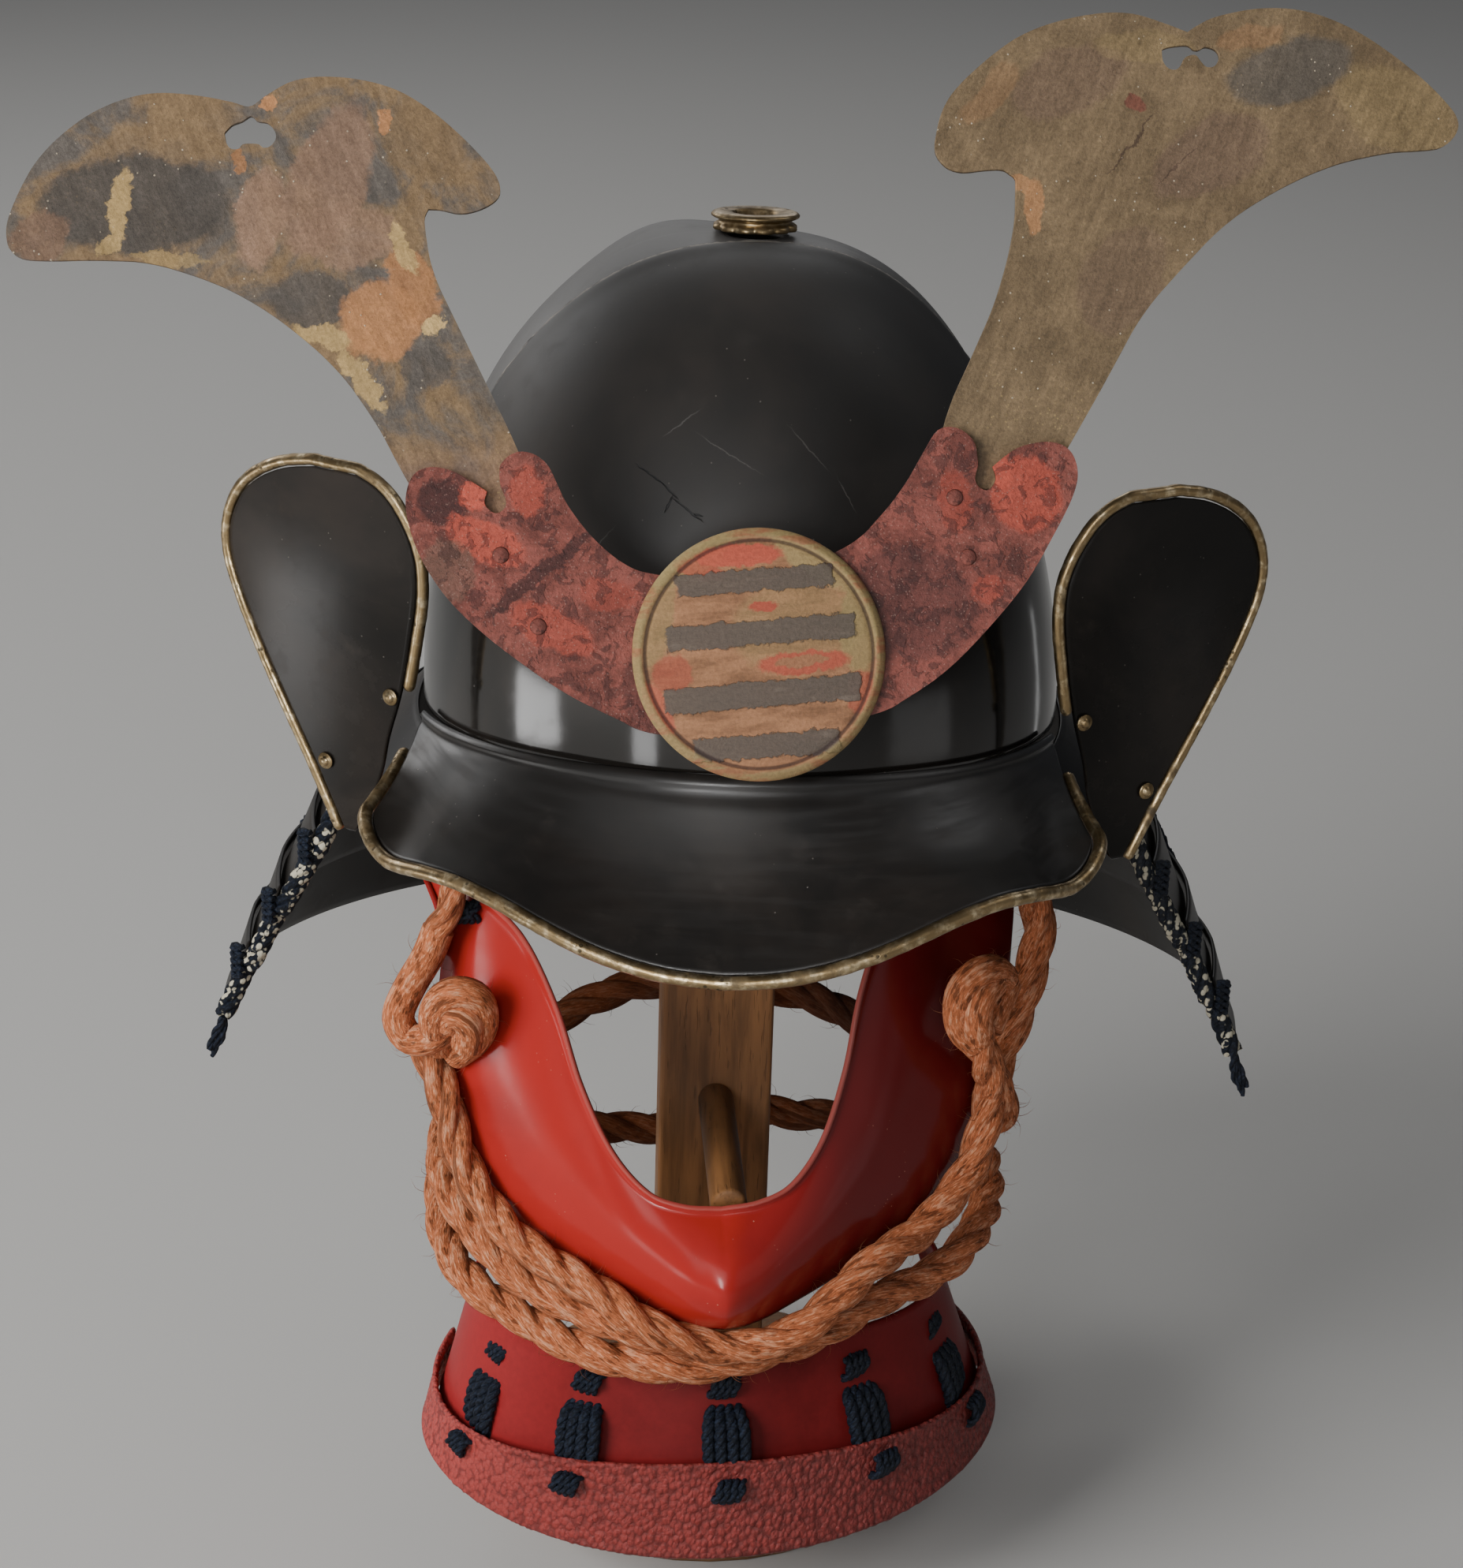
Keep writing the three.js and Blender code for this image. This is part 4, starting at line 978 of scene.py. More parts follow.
def lacquer_finish(name, tone, brown, gloss, specular=0.5, brushed=0.0, bowl=False):
    """Old black lacquer: brown where it is thin, scuffed, dusty and finely scratched, greyed high up as
    painted sheen; on the bowl also painted sheen behind the front plate's rear edge and a painted
    highlight along it.
    """
    f = Finish(name)
    cloud = f.noise(13, 5, 0.62, 0.4)
    grime = f.noise(70, 6, 0.7)
    dust = f.cells(240).between(0.085, 0.04) * f.noise(34, 1).between(0.52, 0.6)
    x, y, level = f.axes(f.where)
    crown = level.between(*CROWN_DULL)
    base = f.blend(rgb(tone), rgb(brown), cloud.between(0.38, 0.72))
    base = f.blend(base, rgb(brown, 1.6), grime.between(0.56, 0.8) * 0.5)
    # painted sheen: the dull crown is greyed a little and the very top of the bowl more
    base = f.blend(base, (0.1, 0.095, 0.09), crown * 0.06 + level.between(0.465, 0.49) * 0.12)
    base = f.blend(base, (0.17, 0.15, 0.13), dust * 0.5)
    rough = gloss + cloud.between(0.3, 0.8) * 0.06 + grime.between(0.5, 0.75) * 0.08 + crown * 0.4
    height = f.noise(20, 2) * 0.3 + grime * 0.025 + dust * 0.05
    if bowl:
        seen = f.node("ShaderNodeCombineXYZ", None, {"X": x * (1 / MM), "Y": level * (1 / MM)})
        bent = f.ragged(1.6, 0.3, seen.outputs[0])
        ahead = y.between(0.0, -0.01)
        for row in CRACKS:
            line = f.patch(row.at, (row.half, 0.28), row.turn, bent, 0.3) * ahead
            base = f.blend(base, (0.004, 0.004, 0.004), line)
            height = height - line * 0.5
        for row in SCRATCHES:
            line = f.patch(row.at, (row.half, 0.16), row.turn, bent, 0.5) * ahead
            base = f.blend(base, (0.055, 0.05, 0.046), line)
        # how far a place is behind the front plate's rear edge
        past = y * 1.011 - (x - HELMET.right * MM) * 0.046 - PLATE_REAR.y * MM
        high = level.between(0.395, 0.43)
        wear = f.noise(160, 3, 0.7)
        behind = past.between(-0.0005, 0.0015) * high
        line = past.between(-0.0035, -0.001) * past.between(0.0016, 0.0002) * high
        # painted sheen: the crown behind the front plate's rear edge is lightened grey, and a pale
        # painted highlight runs along that edge, broken up by noise
        base = f.blend(base, (0.11, 0.105, 0.1), behind * 0.75)
        base = f.blend(base, (0.36, 0.32, 0.27), line * wear.between(0.3, 0.55) * 0.85)
        rough = rough + line * 0.2
    if brushed:
        streaks = f.noise(420, 2, source=f.moved((14, 14, 1)))
        height = height + streaks * 0.03
        rough = rough + streaks.between(0.4, 0.7) * brushed
    return f.done(base, rough, height, specular=specular)


def brass_finish(name, gain=1.0, rub=0.75):
    """Aged brass edging: brown in the hollows, rubbed bright on top, with dark spots."""
    f = Finish(name)
    c = colours()
    blotch = f.noise(90, 5, 0.65, 0.5)
    spots = f.cells(420).between(0.34, 0.2) * f.noise(70, 2).between(0.5, 0.62)
    rubbed = f.noise(260, 4, 0.6).between(0.46, 0.72)
    base = f.blend(rgb(c.brass, gain), rgb(c.brass_bright, gain), rubbed * rub)
    base = f.blend(base, rgb(c.brass, 0.35 * gain), blotch.between(0.52, 0.74))
    base = f.blend(base, (0.05, 0.04, 0.025), spots * 0.8)
    rough = 0.36 + blotch.between(0.45, 0.75) * 0.3 - rubbed * 0.08 + spots * 0.2
    height = f.noise(700, 3) * 0.08 + blotch * 0.12 - spots * 0.06
    return f.done(base, rough, height, 0.95 - blotch.between(0.5, 0.75) * 0.6)


# marks on the crest's plates, in millimetres across and up from the disc's middle: the colour,
# the ellipse's middle, half sizes and turn, how bright the colour is and how much it covers
MARK = "tone at half turn gain strength"
HORN_GAIN = {"left": (1.36, 1.27, 1.18), "right": (1.25, 1.24, 1.2)}
HORN_MARKS = {
    "left": table(
        MARK,
        ("olive", (-172, 166), (30, 10), 20, 1.15, 0.8),
        ("slate", (-177, 151), (29, 15), -4, 0.82, 0.95),
        ("mauve", (-206, 144), (9, 8), 0, 0.85, 0.8),
        ("tan", (-181, 151), (3.2, 11.5), -14, 1.1, 0.95),
        ("tan", (-185, 139), (4, 2.6), 10, 1.05, 0.9),
        ("tan", (-168, 134.5), (12, 2), -10, 0.95, 0.6),
        ("mauve", (-118, 154), (11, 24), -24, 1.1, 0.85),
        ("mauve", (-113, 137), (15, 10), -4, 1.25, 0.75),
        ("mauve", (-139, 144), (8, 15), -18, 1.35, 0.85),
        ("slate", (-126, 118), (13, 9.5), -4, 1.0, 0.9),
        ("olive", (-88, 164), (13, 12), -40, 1.0, 0.8),
        ("ochre", (-106, 110), (12.5, 12), 30, 1.2, 0.85),
        ("ochre", (-95, 121), (7, 12), 12, 1.0, 0.85), ("tan", (-97, 132), (2.6, 8), 14, 1.3, 0.9),
        ("tan", (-90, 108), (3.8, 2.8), 0, 1.6, 0.95),
        ("tan", (-124, 106.5), (9, 3.2), -20, 1.2, 0.9),
        ("tan", (-113, 93), (3, 11), 32, 1.25, 0.85), ("slate", (-93, 95), (8, 6), 0, 1.05, 0.8),
        ("ochre", (-134, 178.5), (3.4, 2.4), 24, 1.25, 0.9),
        ("ochre", (-100, 171), (2.2, 4), 0, 1.2, 0.9),
        ("ochre", (-145, 161), (2, 3.6), 8, 0.9, 0.8),
    ),
    "right": table(
        MARK,
        ("mauve", (111, 168), (19, 10), 18, 0.8, 0.6),
        ("slate", (180, 167), (20, 9), 12, 1.05, 0.7),
        ("mauve", (152, 142), (20, 11), 25, 0.8, 0.65),
        ("mauve", (122, 106), (12, 18), -35, 0.75, 0.5),
        ("ochre", (86, 167), (12, 5), 40, 0.95, 0.25), ("tan", (134, 178), (15, 5), -4, 0.95, 0.25),
        ("ochre", (168, 178), (11, 4), 6, 1.0, 0.3), ("tan", (212, 152), (20, 13), -34, 0.9, 0.3),
        ("crimson", (131, 160), (3.6, 2.3), -20, 0.7, 0.75),
        ("umber", (128.5, 147.5), (0.35, 13), -42, 0.8, 0.6),
        ("umber", (142, 140), (0.3, 9), -50, 0.8, 0.5),
        ("ochre", (96.4, 130), (3, 8.6), -6, 1.3, 0.75),
        ("ochre", (93, 137), (4.4, 2.6), -20, 1.2, 0.7),
    ),
}
ARM_MARKS = table(
    MARK,
    ("umber", (-92, 54), (7.5, 7), 0, 1.3, 0.8), ("scarlet", (-82, 55), (5, 4.5), 0, 1.2, 0.9),
    ("scarlet", (-66, 55), (5.5, 7.5), 0, 0.9, 0.65),
    ("scarlet", (-80, 41), (13, 6), -30, 1.1, 0.75), ("scarlet", (-62, 13), (14, 6), -32, 0.9, 0.6),
    ("scarlet", (-44, 22), (9, 5), -10, 0.8, 0.45), ("umber", (-64, 30), (2.2, 21), -56, 1.2, 0.75),
    ("mauve", (-92, 33), (8, 10), 0, 1.0, 0.5), ("umber", (-34, -8), (8, 13), 0, 1.6, 0.55),
    ("scarlet", (86, 42), (11, 11.5), 0, 0.95, 0.8), ("scarlet", (64, 42), (5, 10), 0, 0.75, 0.55),
    ("scarlet", (72, 14), (5, 4), 0, 0.8, 0.6), ("umber", (48, 12), (20, 17), -25, 1.7, 0.5),
    ("scarlet", (79, 51), (3, 8), 0, 1.2, 0.7),
)
DISC_MARKS = table(
    MARK,
    ("straw", (20, 29), (17, 7), -38, 1.0, 0.8), ("straw", (-17, 31), (16, 5), 28, 0.95, 0.6),
    ("straw", (31, 6), (6, 15), -5, 0.85, 0.8), ("straw", (-30, 14), (5, 16), -12, 0.8, 0.55),
    ("straw", (12, 7), (20, 14), 0, 0.9, 0.35), ("scarlet", (-4, 30.5), (13.5, 3.4), -2, 1.0, 0.9),
    ("scarlet", (-16, 27), (8, 3), -20, 0.85, 0.7),
    ("scarlet", (2.5, 14.3), (4.4, 1.7), 0, 0.85, 0.9),
    ("scarlet", (13, -3.6), (14, 3.4), 0, 0.9, 0.85),
    ("gilding", (13, -3.2), (8.5, 1.7), 0, 1.0, 0.9), ("scarlet", (-27, -4), (6, 6), 0, 0.75, 0.6),
    ("scarlet", (30, -14), (4, 7), -15, 0.85, 0.6),
    ("scarlet", (-32, -14), (3.4, 9), 22, 0.9, 0.65), ("gilding", (0, -33), (22, 3), 0, 1.1, 0.5),
)
# the disc's four bars: the middle and the half sizes of each
DISC_BARS = table(
    "middle half",
    ((0.5, 22.4), (24, 3.4)), ((1, 6.6), (29, 3.8)), ((0, -12.2), (30, 3.9)),
    ((0, -28), (22.5, 3.6)),
)


def crest_tones():
    """The colours that the crest's marks are named after."""
    c = colours()
    names = "slate mauve tan ochre olive crimson scarlet umber gilding straw"
    return {name: getattr(c, name) for name in names.split()}


def horn_finish(side):
    """Horn plates: left a patchwork of tarnish and peeled gilding, right olive and fibrous."""
    f = Finish(f"horn_{side}_tarnish", sheet=True)
    c = colours()
    flat = f.sheet_in_metres()
    lean = -28 if side == "right" else 20
    fibre = f.noise(330, 5, 0.7, source=f.moved((1, 6, 1), (0, 0, lean), source=flat))
    cloud = f.noise(34, 6, 0.65, 0.6, source=flat)
    fine = f.noise(900, 5, 0.75, source=flat)
    mid = f.noise(260, 4, 0.7, source=flat)
    broad = f.ragged(11.0, 0.05, f.sheet)
    torn = f.ragged(6.0, 0.3, broad)
    if side == "left":
        base = f.blend(rgb(c.slate, 1.25), rgb(c.olive, 1.15), cloud.between(0.4, 0.56))
        base = f.blend(base, rgb(c.mauve, 1.15), f.v.between(78, 60) * 0.6)
    else:
        base = f.blend(rgb(c.olive, 0.85), rgb(c.olive, 1.2), cloud.between(0.36, 0.64))
    base = f.painted(base, HORN_MARKS[side], crest_tones(), torn if side == "left" else broad)
    base = f.blend(base, HORN_GAIN[side], 1.0, "MULTIPLY")
    base = f.grained(base, fibre, 0.6)
    base = f.grained(base, mid, 0.4)
    base = f.grained(base, fine, 0.8)
    freckles = f.cells(700, source=flat).between(0.3, 0.12) * cloud.between(0.5, 0.62)
    low = f.v.between(98, 70) * 0.5 + 0.12
    base = f.blend(base, rgb(c.tan, 1.5), freckles * low)
    specks = f.cells(330, source=flat).between(0.13, 0.07)
    specks = specks * f.noise(40, 1, source=flat).between(0.48, 0.56)
    base = f.blend(base, (0.6, 0.5, 0.36), specks * 0.8)
    rough = 0.6 + fine * 0.2 - specks * 0.2
    height = fibre * 0.25 + fine * 0.3 + cloud * 0.3 + mid * 0.3 + specks * 0.2
    return f.done(base, rough, height, specular=0.35)


def arm_finish():
    """The crest's arms: pitted crimson lacquer with bright and almost black wear."""
    f = Finish("worn_crimson", sheet=True)
    c = colours()
    flat = f.sheet_in_metres()
    cloud = f.noise(60, 6, 0.7, 0.5, source=flat)
    pits = f.noise(620, 5, 0.72, source=flat)
    cross = f.noise(260, 4, 0.6, source=f.moved((1, 5, 1), (0, 0, -35), source=flat))
    torn = f.ragged(7.0, 0.22, f.sheet)
    base = f.blend(rgb(c.crimson, 0.75), rgb(c.crimson, 1.35), cloud.between(0.4, 0.6))
    base = f.painted(base, ARM_MARKS, crest_tones(), torn)
    flakes = f.noise(190, 4, 0.65, 0.6, source=flat)
    base = f.blend(base, rgb(c.umber, 1.2), flakes.between(0.52, 0.58) * 0.55)
    base = f.grained(base, pits, 0.75)
    base = f.blend(base, (0.36, 0.24, 0.2), f.cells(800, source=flat).between(0.24, 0.1) * 0.4)
    rough = 0.5 + pits * 0.3
    height = pits * 0.75 + cross * 0.4 + flakes.between(0.5, 0.6) * 0.15
    return f.done(base, rough, height, specular=0.45)


def disc_finish():
    """The disc: worn gilding over red, with four grey bars and a groove inside its edge."""
    f = Finish("worn_disc", sheet=True)
    c = colours()
    flat = f.sheet_in_metres()
    torn = f.ragged(5.0, 0.28, f.sheet)
    across, up, _ = f.axes(torn)
    bars = None
    for row in DISC_BARS:
        long = (across - row.middle[0]).absolute().between(row.half[0] + 0.5, row.half[0] - 0.5)
        bar = (up - row.middle[1]).absolute().between(row.half[1] + 0.3, row.half[1] - 0.3) * long
        bars = bar if bars is None else bars.at_least(bar)
    out = (f.u * f.u + f.v * f.v) ** 0.5
    wood = f.noise(170, 5, 0.65, source=f.moved((4, 1, 1), source=flat))
    fine = f.noise(800, 5, 0.72, source=flat)
    base = f.blend(rgb(c.gilding, 0.7), rgb(c.gilding, 1.25), wood.between(0.35, 0.62))
    base = f.painted(base, DISC_MARKS, crest_tones(), torn)
    base = f.blend(base, rgb(c.bar, 0.9), bars * 0.95)
    base = f.blend(base, rgb(c.bar, 1.7), bars * wood.between(0.55, 0.68) * 0.55)
    edge = out.between(35.3, 36.2)
    base = f.blend(base, rgb(c.straw, 0.8), edge * 0.8)
    base = f.blend(base, rgb(c.scarlet, 0.6), edge * wood.between(0.5, 0.62) * 0.5)
    base = f.blend(base, rgb(c.umber, 0.8), out.between(33.8, 34.5) * out.between(35.6, 35.0) * 0.75)
    base = f.grained(base, fine, 0.6)
    height = fine * 0.3 + wood * 0.45 + bars * 0.3
    return f.done(base, 0.58 + fine * 0.2 - bars * 0.1, height, specular=0.35)


def vermilion_finish():
    """Glossy vermilion lacquer, thin along the worn opening, darker low at the sides, and darkened
    towards maroon over its right half as painted shade.
    """
    f = Finish("vermilion_lacquer", sheet=True)
    c = colours()
    cloud = f.noise(20, 5, 0.6, 0.4)
    fine = f.noise(240, 5, 0.65)
    aside = (f.u - 0.5) * 2
    base = f.blend(rgb(c.vermilion), rgb(c.vermilion, 0.7), cloud.between(0.45, 0.75) * 0.6)
    # painted shade: the right half, away from the light, darkens towards maroon
    shade = aside.between(0.0, 0.1) * 0.4 + aside.between(0.06, 0.45) * 0.45
    base = f.blend(base, rgb(c.maroon, 0.8), shade)
    base = f.blend(base, rgb(c.maroon, 0.6), f.v.between(0.08, 0.0) * 0.5)
    worn = (f.v + fine * 0.02 - 0.01).between(0.985, 0.998)
    base = f.blend(base, (0.36, 0.13, 0.1), worn * 0.3)
    chips = f.cells(380).between(0.12, 0.07) * f.noise(50, 3).between(0.58, 0.66)
    base = f.blend(base, (0.5, 0.2, 0.14), chips * 0.7)
    rough = 0.17 + cloud.between(0.4, 0.8) * 0.1 + fine.between(0.5, 0.7) * 0.04
    height = f.noise(26, 2) * 0.35 + fine * 0.02 - chips * 0.06
    return f.done(base, rough + worn * 0.25, height, specular=0.22)


def throat_finish(name, tone, pebbles):
    """Dull red lacquer of the throat guard, plain or over pebbled leather, with painted light on its
    left end.
    """
    f = Finish(name, sheet=True)
    cloud = f.noise(16, 5, 0.65, 0.3)
    fine = f.noise(420, 4, 0.65)
    base = f.blend(rgb(tone, 1.1), rgb(tone, 0.6), cloud.between(0.42, 0.75) * 0.7)
    base = f.blend(base, rgb(tone, 0.45), f.v.between(0.1, 0.0) * 0.5)
    # painted light: the left end of each lame is lightened, as if lit from the left
    base = f.blend(base, rgb(tone, 2.6), f.u.between(0.42, 0.12) * 0.6)
    base = f.grained(base, fine, 0.2)
    rough = 0.34 + cloud * 0.12 + fine * 0.08
    height = fine * 0.05 + f.noise(40, 2) * 0.2
    if pebbles:
        warped = f.ragged(0.0016, 500.0, f.where)
        grain = f.cells(520, source=f.moved((1, 1, 1.4), (0, 12, 0), source=warped))
        base = f.blend(base, rgb(tone, 1.5), grain.between(0.45, 0.1) * 0.4)
        base = f.blend(base, rgb(tone, 0.4), grain.between(0.45, 0.75) * 0.6)
        height = height - grain * 0.95 + fine * 0.1
    return f.done(base, rough, height, specular=0.35 if pebbles else 0.1)


def silk_finish(name, dark, pale=None, fleck_scale=0.0):
    """Braided silk: a fine slanted weave, flecked with a pale colour where one is given."""
    f = Finish(name)
    weave = f.noise(1500, 2, source=f.moved((1, 1, 2.5), (20, 35, 0)))
    fuzz = f.noise(500, 3, 0.7)
    base = f.blend(rgb(dark, 0.6), rgb(dark, 2.4), weave.between(0.4, 0.68))
    if pale is not None:
        flecks = f.cells(fleck_scale, source=f.moved((1, 1, 1.4), (25, 0, 15))).between(0.52, 0.4)
        flecks = flecks * f.noise(fleck_scale * 0.45, 2).between(0.42, 0.48)
        base = f.blend(base, rgb(pale), flecks)
    return f.done(base, 0.75, weave * 0.35 + fuzz * 0.2, specular=0.25)


def hemp_finish():
    """Orange hemp rope: pale and dark fibres that run along each strand, with painted shade on the
    stretches at the back.
    """
    f = Finish("orange_hemp", sheet=True)
    c = colours()
    fibres = f.noise(1.0, 4, 0.7, source=f.moved((1 / 40, 1 / 7, 1), source=f.sheet))
    strands = f.noise(1.0, 3, 0.6, source=f.moved((1 / 11, 1 / 3, 1), source=f.sheet))
    cloud = f.noise(26, 4)
    nicks = f.noise(420, 3, 0.7)
    base = f.blend(rgb(c.hemp, 0.7), rgb(c.hemp, 1.15), fibres.between(0.38, 0.56))
    base = f.blend(base, rgb(c.hemp_pale), fibres.between(0.52, 0.66) * 0.8)
    base = f.blend(base, rgb(c.hemp_pale, 1.15), strands.between(0.54, 0.64) * 0.45)
    base = f.blend(base, rgb(c.hemp, 0.22), strands.between(0.44, 0.36) * 0.8)
    base = f.blend(base, rgb(c.hemp, 0.3), fibres.between(0.4, 0.32) * 0.6)
    base = f.blend(base, rgb(c.hemp, 0.8), cloud.between(0.5, 0.75) * 0.35)
    base = f.grained(base, nicks, 0.35)
    # painted shade: the rope at the back, behind the face guard, is darkened as if out of the light
    _, deep, _ = f.axes(f.where)
    base = f.blend(base, rgb(c.hemp, 0.16), deep.between(-0.015, 0.03) * 0.8)
    height = fibres * 1.3 + strands * 1.2 + nicks * 0.3
    return f.done(base, 0.85, height, specular=0.2)


def wood_finish(name, gain=1.0, along=(1, 1, 12)):
    """Plain wood with its grain along one axis."""
    f = Finish(name)
    c = colours()
    grain = f.noise(220, 5, 0.6, 0.4, source=f.moved(along))
    broad = f.noise(50, 3, 0.5, 0.6, source=f.moved(along))
    pores = f.noise(900, 2, source=f.moved(along)).between(0.62, 0.7)
    base = f.blend(rgb(c.wood, 0.65 * gain), rgb(c.wood, 1.2 * gain), grain.between(0.32, 0.68))
    base = f.blend(base, rgb(c.wood, 0.6 * gain), broad.between(0.52, 0.7) * 0.5)
    base = f.blend(base, rgb(c.wood, 0.35 * gain), pores * 0.5)
    return f.done(base, 0.5 + grain * 0.2, grain * 0.12 - pores * 0.1, specular=0.4)


def iron_finish():
    """Dark iron, brown with age."""
    f = Finish("dark_iron")
    rust = f.noise(180, 5, 0.7)
    base = f.blend(rgb(colours().iron), (0.09, 0.045, 0.025), rust.between(0.5, 0.7))
    return f.done(base, 0.5 + rust * 0.2, rust * 0.15, 0.7)


# ------------------------------------------------------------------- geometry node trees


def tree_inputs(name, sockets):
    """A new geometry tree with named inputs, its group input and its builder."""
    tree = bpy.data.node_groups.new(name, "GeometryNodeTree")
    tree.interface.new_socket("Geometry", in_out="INPUT", socket_type="NodeSocketGeometry")
    for label, kind in sockets:
        tree.interface.new_socket(label, in_out="INPUT", socket_type=kind)
    tree.interface.new_socket("Geometry", in_out="OUTPUT", socket_type="NodeSocketGeometry")
    build = Tree(tree)
    return tree, build, build.node("NodeGroupInput").outputs


LENGTHS_TO_SHEET = 40  # how far the sheet of a strand runs for each metre of it


def dressed_output(build, geometry, material):
    """Ends a tree: real geometry in its material."""
    real = build.node("GeometryNodeRealizeInstances", None, {"Geometry": geometry})
    dressed = build.node("GeometryNodeSetMaterial", None,
                         {"Geometry": real.outputs[0], "Material": material})
    build.node("NodeGroupOutput", None, {"Geometry": dressed.outputs[0]})


def twist_tree():
    """Strands wound round a path: a rope, a braid or a lace."""
    tree, b, given = tree_inputs("twisted_strands", [
        ("Strands", "NodeSocketInt"), ("Lay", "NodeSocketFloat"), ("Core", "NodeSocketFloat"),
        ("Strand", "NodeSocketFloat"), ("Step", "NodeSocketFloat"), ("Sides", "NodeSocketInt"),
        ("Material", "NodeSocketMaterial"),
    ])
    even = b.node("GeometryNodeResampleCurve", {"mode": "LENGTH"},
                  {"Curve": given["Geometry"], "Length": given["Step"]})
    copies = b.node("GeometryNodeDuplicateElements", {"domain": "SPLINE"},
                    {"Geometry": even.outputs[0], "Amount": given["Strands"]})
    which = Value(b, copies.outputs["Duplicate Index"])
    along = Value(b, b.node("GeometryNodeSplineParameter").outputs["Length"])
    angle = (along / given["Lay"] + which / given["Strands"]) * (2 * pi)
    normal = b.node("GeometryNodeInputNormal").outputs[0]
    tangent = b.node("GeometryNodeInputTangent").outputs[0]
    spoke = b.node("ShaderNodeVectorRotate", {"rotation_type": "AXIS_ANGLE"},
                   {"Vector": normal, "Axis": tangent, "Angle": angle})
    offset = b.node("ShaderNodeVectorMath", {"operation": "SCALE"},
                    {0: spoke.outputs[0], "Scale": given["Core"]})
    capture = b.node("GeometryNodeCaptureAttribute", {"domain": "POINT"})
    capture.capture_items.new("FLOAT", "Along")
    tree.links.new(copies.outputs["Geometry"], capture.inputs["Geometry"])
    tree.links.new(along.socket, capture.inputs["Along"])
    wound = b.node("GeometryNodeSetPosition", None,
                   {"Geometry": capture.outputs["Geometry"], "Offset": offset.outputs[0]})
    circle = b.node("GeometryNodeCurvePrimitiveCircle", None,
                    {"Resolution": given["Sides"], "Radius": given["Strand"]})
    ring = b.node("GeometryNodeCaptureAttribute", {"domain": "POINT"})
    ring.capture_items.new("FLOAT", "Around")
    tree.links.new(circle.outputs[0], ring.inputs["Geometry"])
    tree.links.new(b.node("GeometryNodeSplineParameter").outputs["Factor"], ring.inputs["Around"])
    body = b.node("GeometryNodeCurveToMesh", None,
                  {"Curve": wound.outputs[0], "Profile Curve": ring.outputs["Geometry"],
                   "Fill Caps": True})
    turns = Value(b, capture.outputs["Along"]) * LENGTHS_TO_SHEET
    place = b.node("ShaderNodeCombineXYZ", None, {"X": ring.outputs["Around"], "Y": turns})
    stored = b.node("GeometryNodeStoreNamedAttribute", {"data_type": "FLOAT2", "domain": "CORNER"},
                    {"Geometry": body.outputs[0], "Name": "sheet", "Value": place.outputs[0]})
    smooth = b.node("GeometryNodeSetShadeSmooth", None, {"Geometry": stored.outputs[0]})
    dressed_output(b, smooth.outputs[0], given["Material"])
    return tree


def scatter_tree():
    """Small copies of an object scattered over a surface, standing on it and turned at random."""
    tree, b, given = tree_inputs("scattered_copies", [
        ("Copy", "NodeSocketObject"), ("Density", "NodeSocketFloat"), ("Seed", "NodeSocketInt"),
        ("Lean", "NodeSocketFloat"), ("Material", "NodeSocketMaterial"),
    ])
    points = b.node("GeometryNodeDistributePointsOnFaces", None,
                    {"Mesh": given["Geometry"], "Density": given["Density"], "Seed": given["Seed"]})
    turn = b.node("FunctionNodeRandomValue", {"data_type": "FLOAT_VECTOR"},
                  {"Min": (-1.0, -1.0, -pi), "Max": (1.0, 1.0, pi), "Seed": given["Seed"]})
    scale = b.node("ShaderNodeCombineXYZ", None,
                   {"X": given["Lean"], "Y": given["Lean"], "Z": 1.0})
    tilt = b.node("ShaderNodeVectorMath", {"operation": "MULTIPLY"},
                  {0: turn.outputs[0], 1: scale.outputs[0]})
    spin = b.node("FunctionNodeRotateRotation", {"rotation_space": "LOCAL"},
                  {0: points.outputs["Rotation"], 1: tilt.outputs[0]})
    size = b.node("FunctionNodeRandomValue", {"data_type": "FLOAT"}, {2: 0.4, 3: 1.3, "Seed": 7})
    source = b.node("GeometryNodeObjectInfo", None, {"Object": given["Copy"]})
    copies = b.node("GeometryNodeInstanceOnPoints", None,
                    {"Points": points.outputs["Points"], "Instance": source.outputs["Geometry"],
                     "Rotation": spin.outputs[0], "Scale": size.outputs[1]})
    dressed_output(b, copies.outputs[0], given["Material"])
    return tree


def tree_mesh(source, tree, inputs):
    """The plain mesh that a geometry tree makes of an object."""
    modifier = source.modifiers.new("made", "NODES")
    modifier.node_group = tree
    for item in tree.interface.items_tree:
        if item.in_out == "INPUT" and item.name in inputs:
            modifier[item.identifier] = inputs[item.name]
    bpy.context.view_layer.update()
    depsgraph = bpy.context.evaluated_depsgraph_get()
    source.update_tag()
    depsgraph.update()
    mesh = bpy.data.meshes.new_from_object(source.evaluated_get(depsgraph), depsgraph=depsgraph)
    source.modifiers.remove(modifier)
    return mesh


def path_object(name, routes):
    """A curve object with one smooth spline for each route, in millimetres."""
    curve = bpy.data.curves.new(name, "CURVE")
    curve.dimensions = "3D"
    for route in routes:
        spline = curve.splines.new("POLY")
        line = smooth_line(route, 2.0)
        spline.points.add(len(line) - 1)
        spline.points.foreach_set("co", [c for p in line for c in (*(p * MM), 1.0)])
    thing = bpy.data.objects.new(name, curve)
    bpy.context.scene.collection.objects.link(thing)
    return thing


def placed(routes, place):
    """Routes moved from their own frame to the object's."""
    return [[place @ p for p in route] for route in routes]


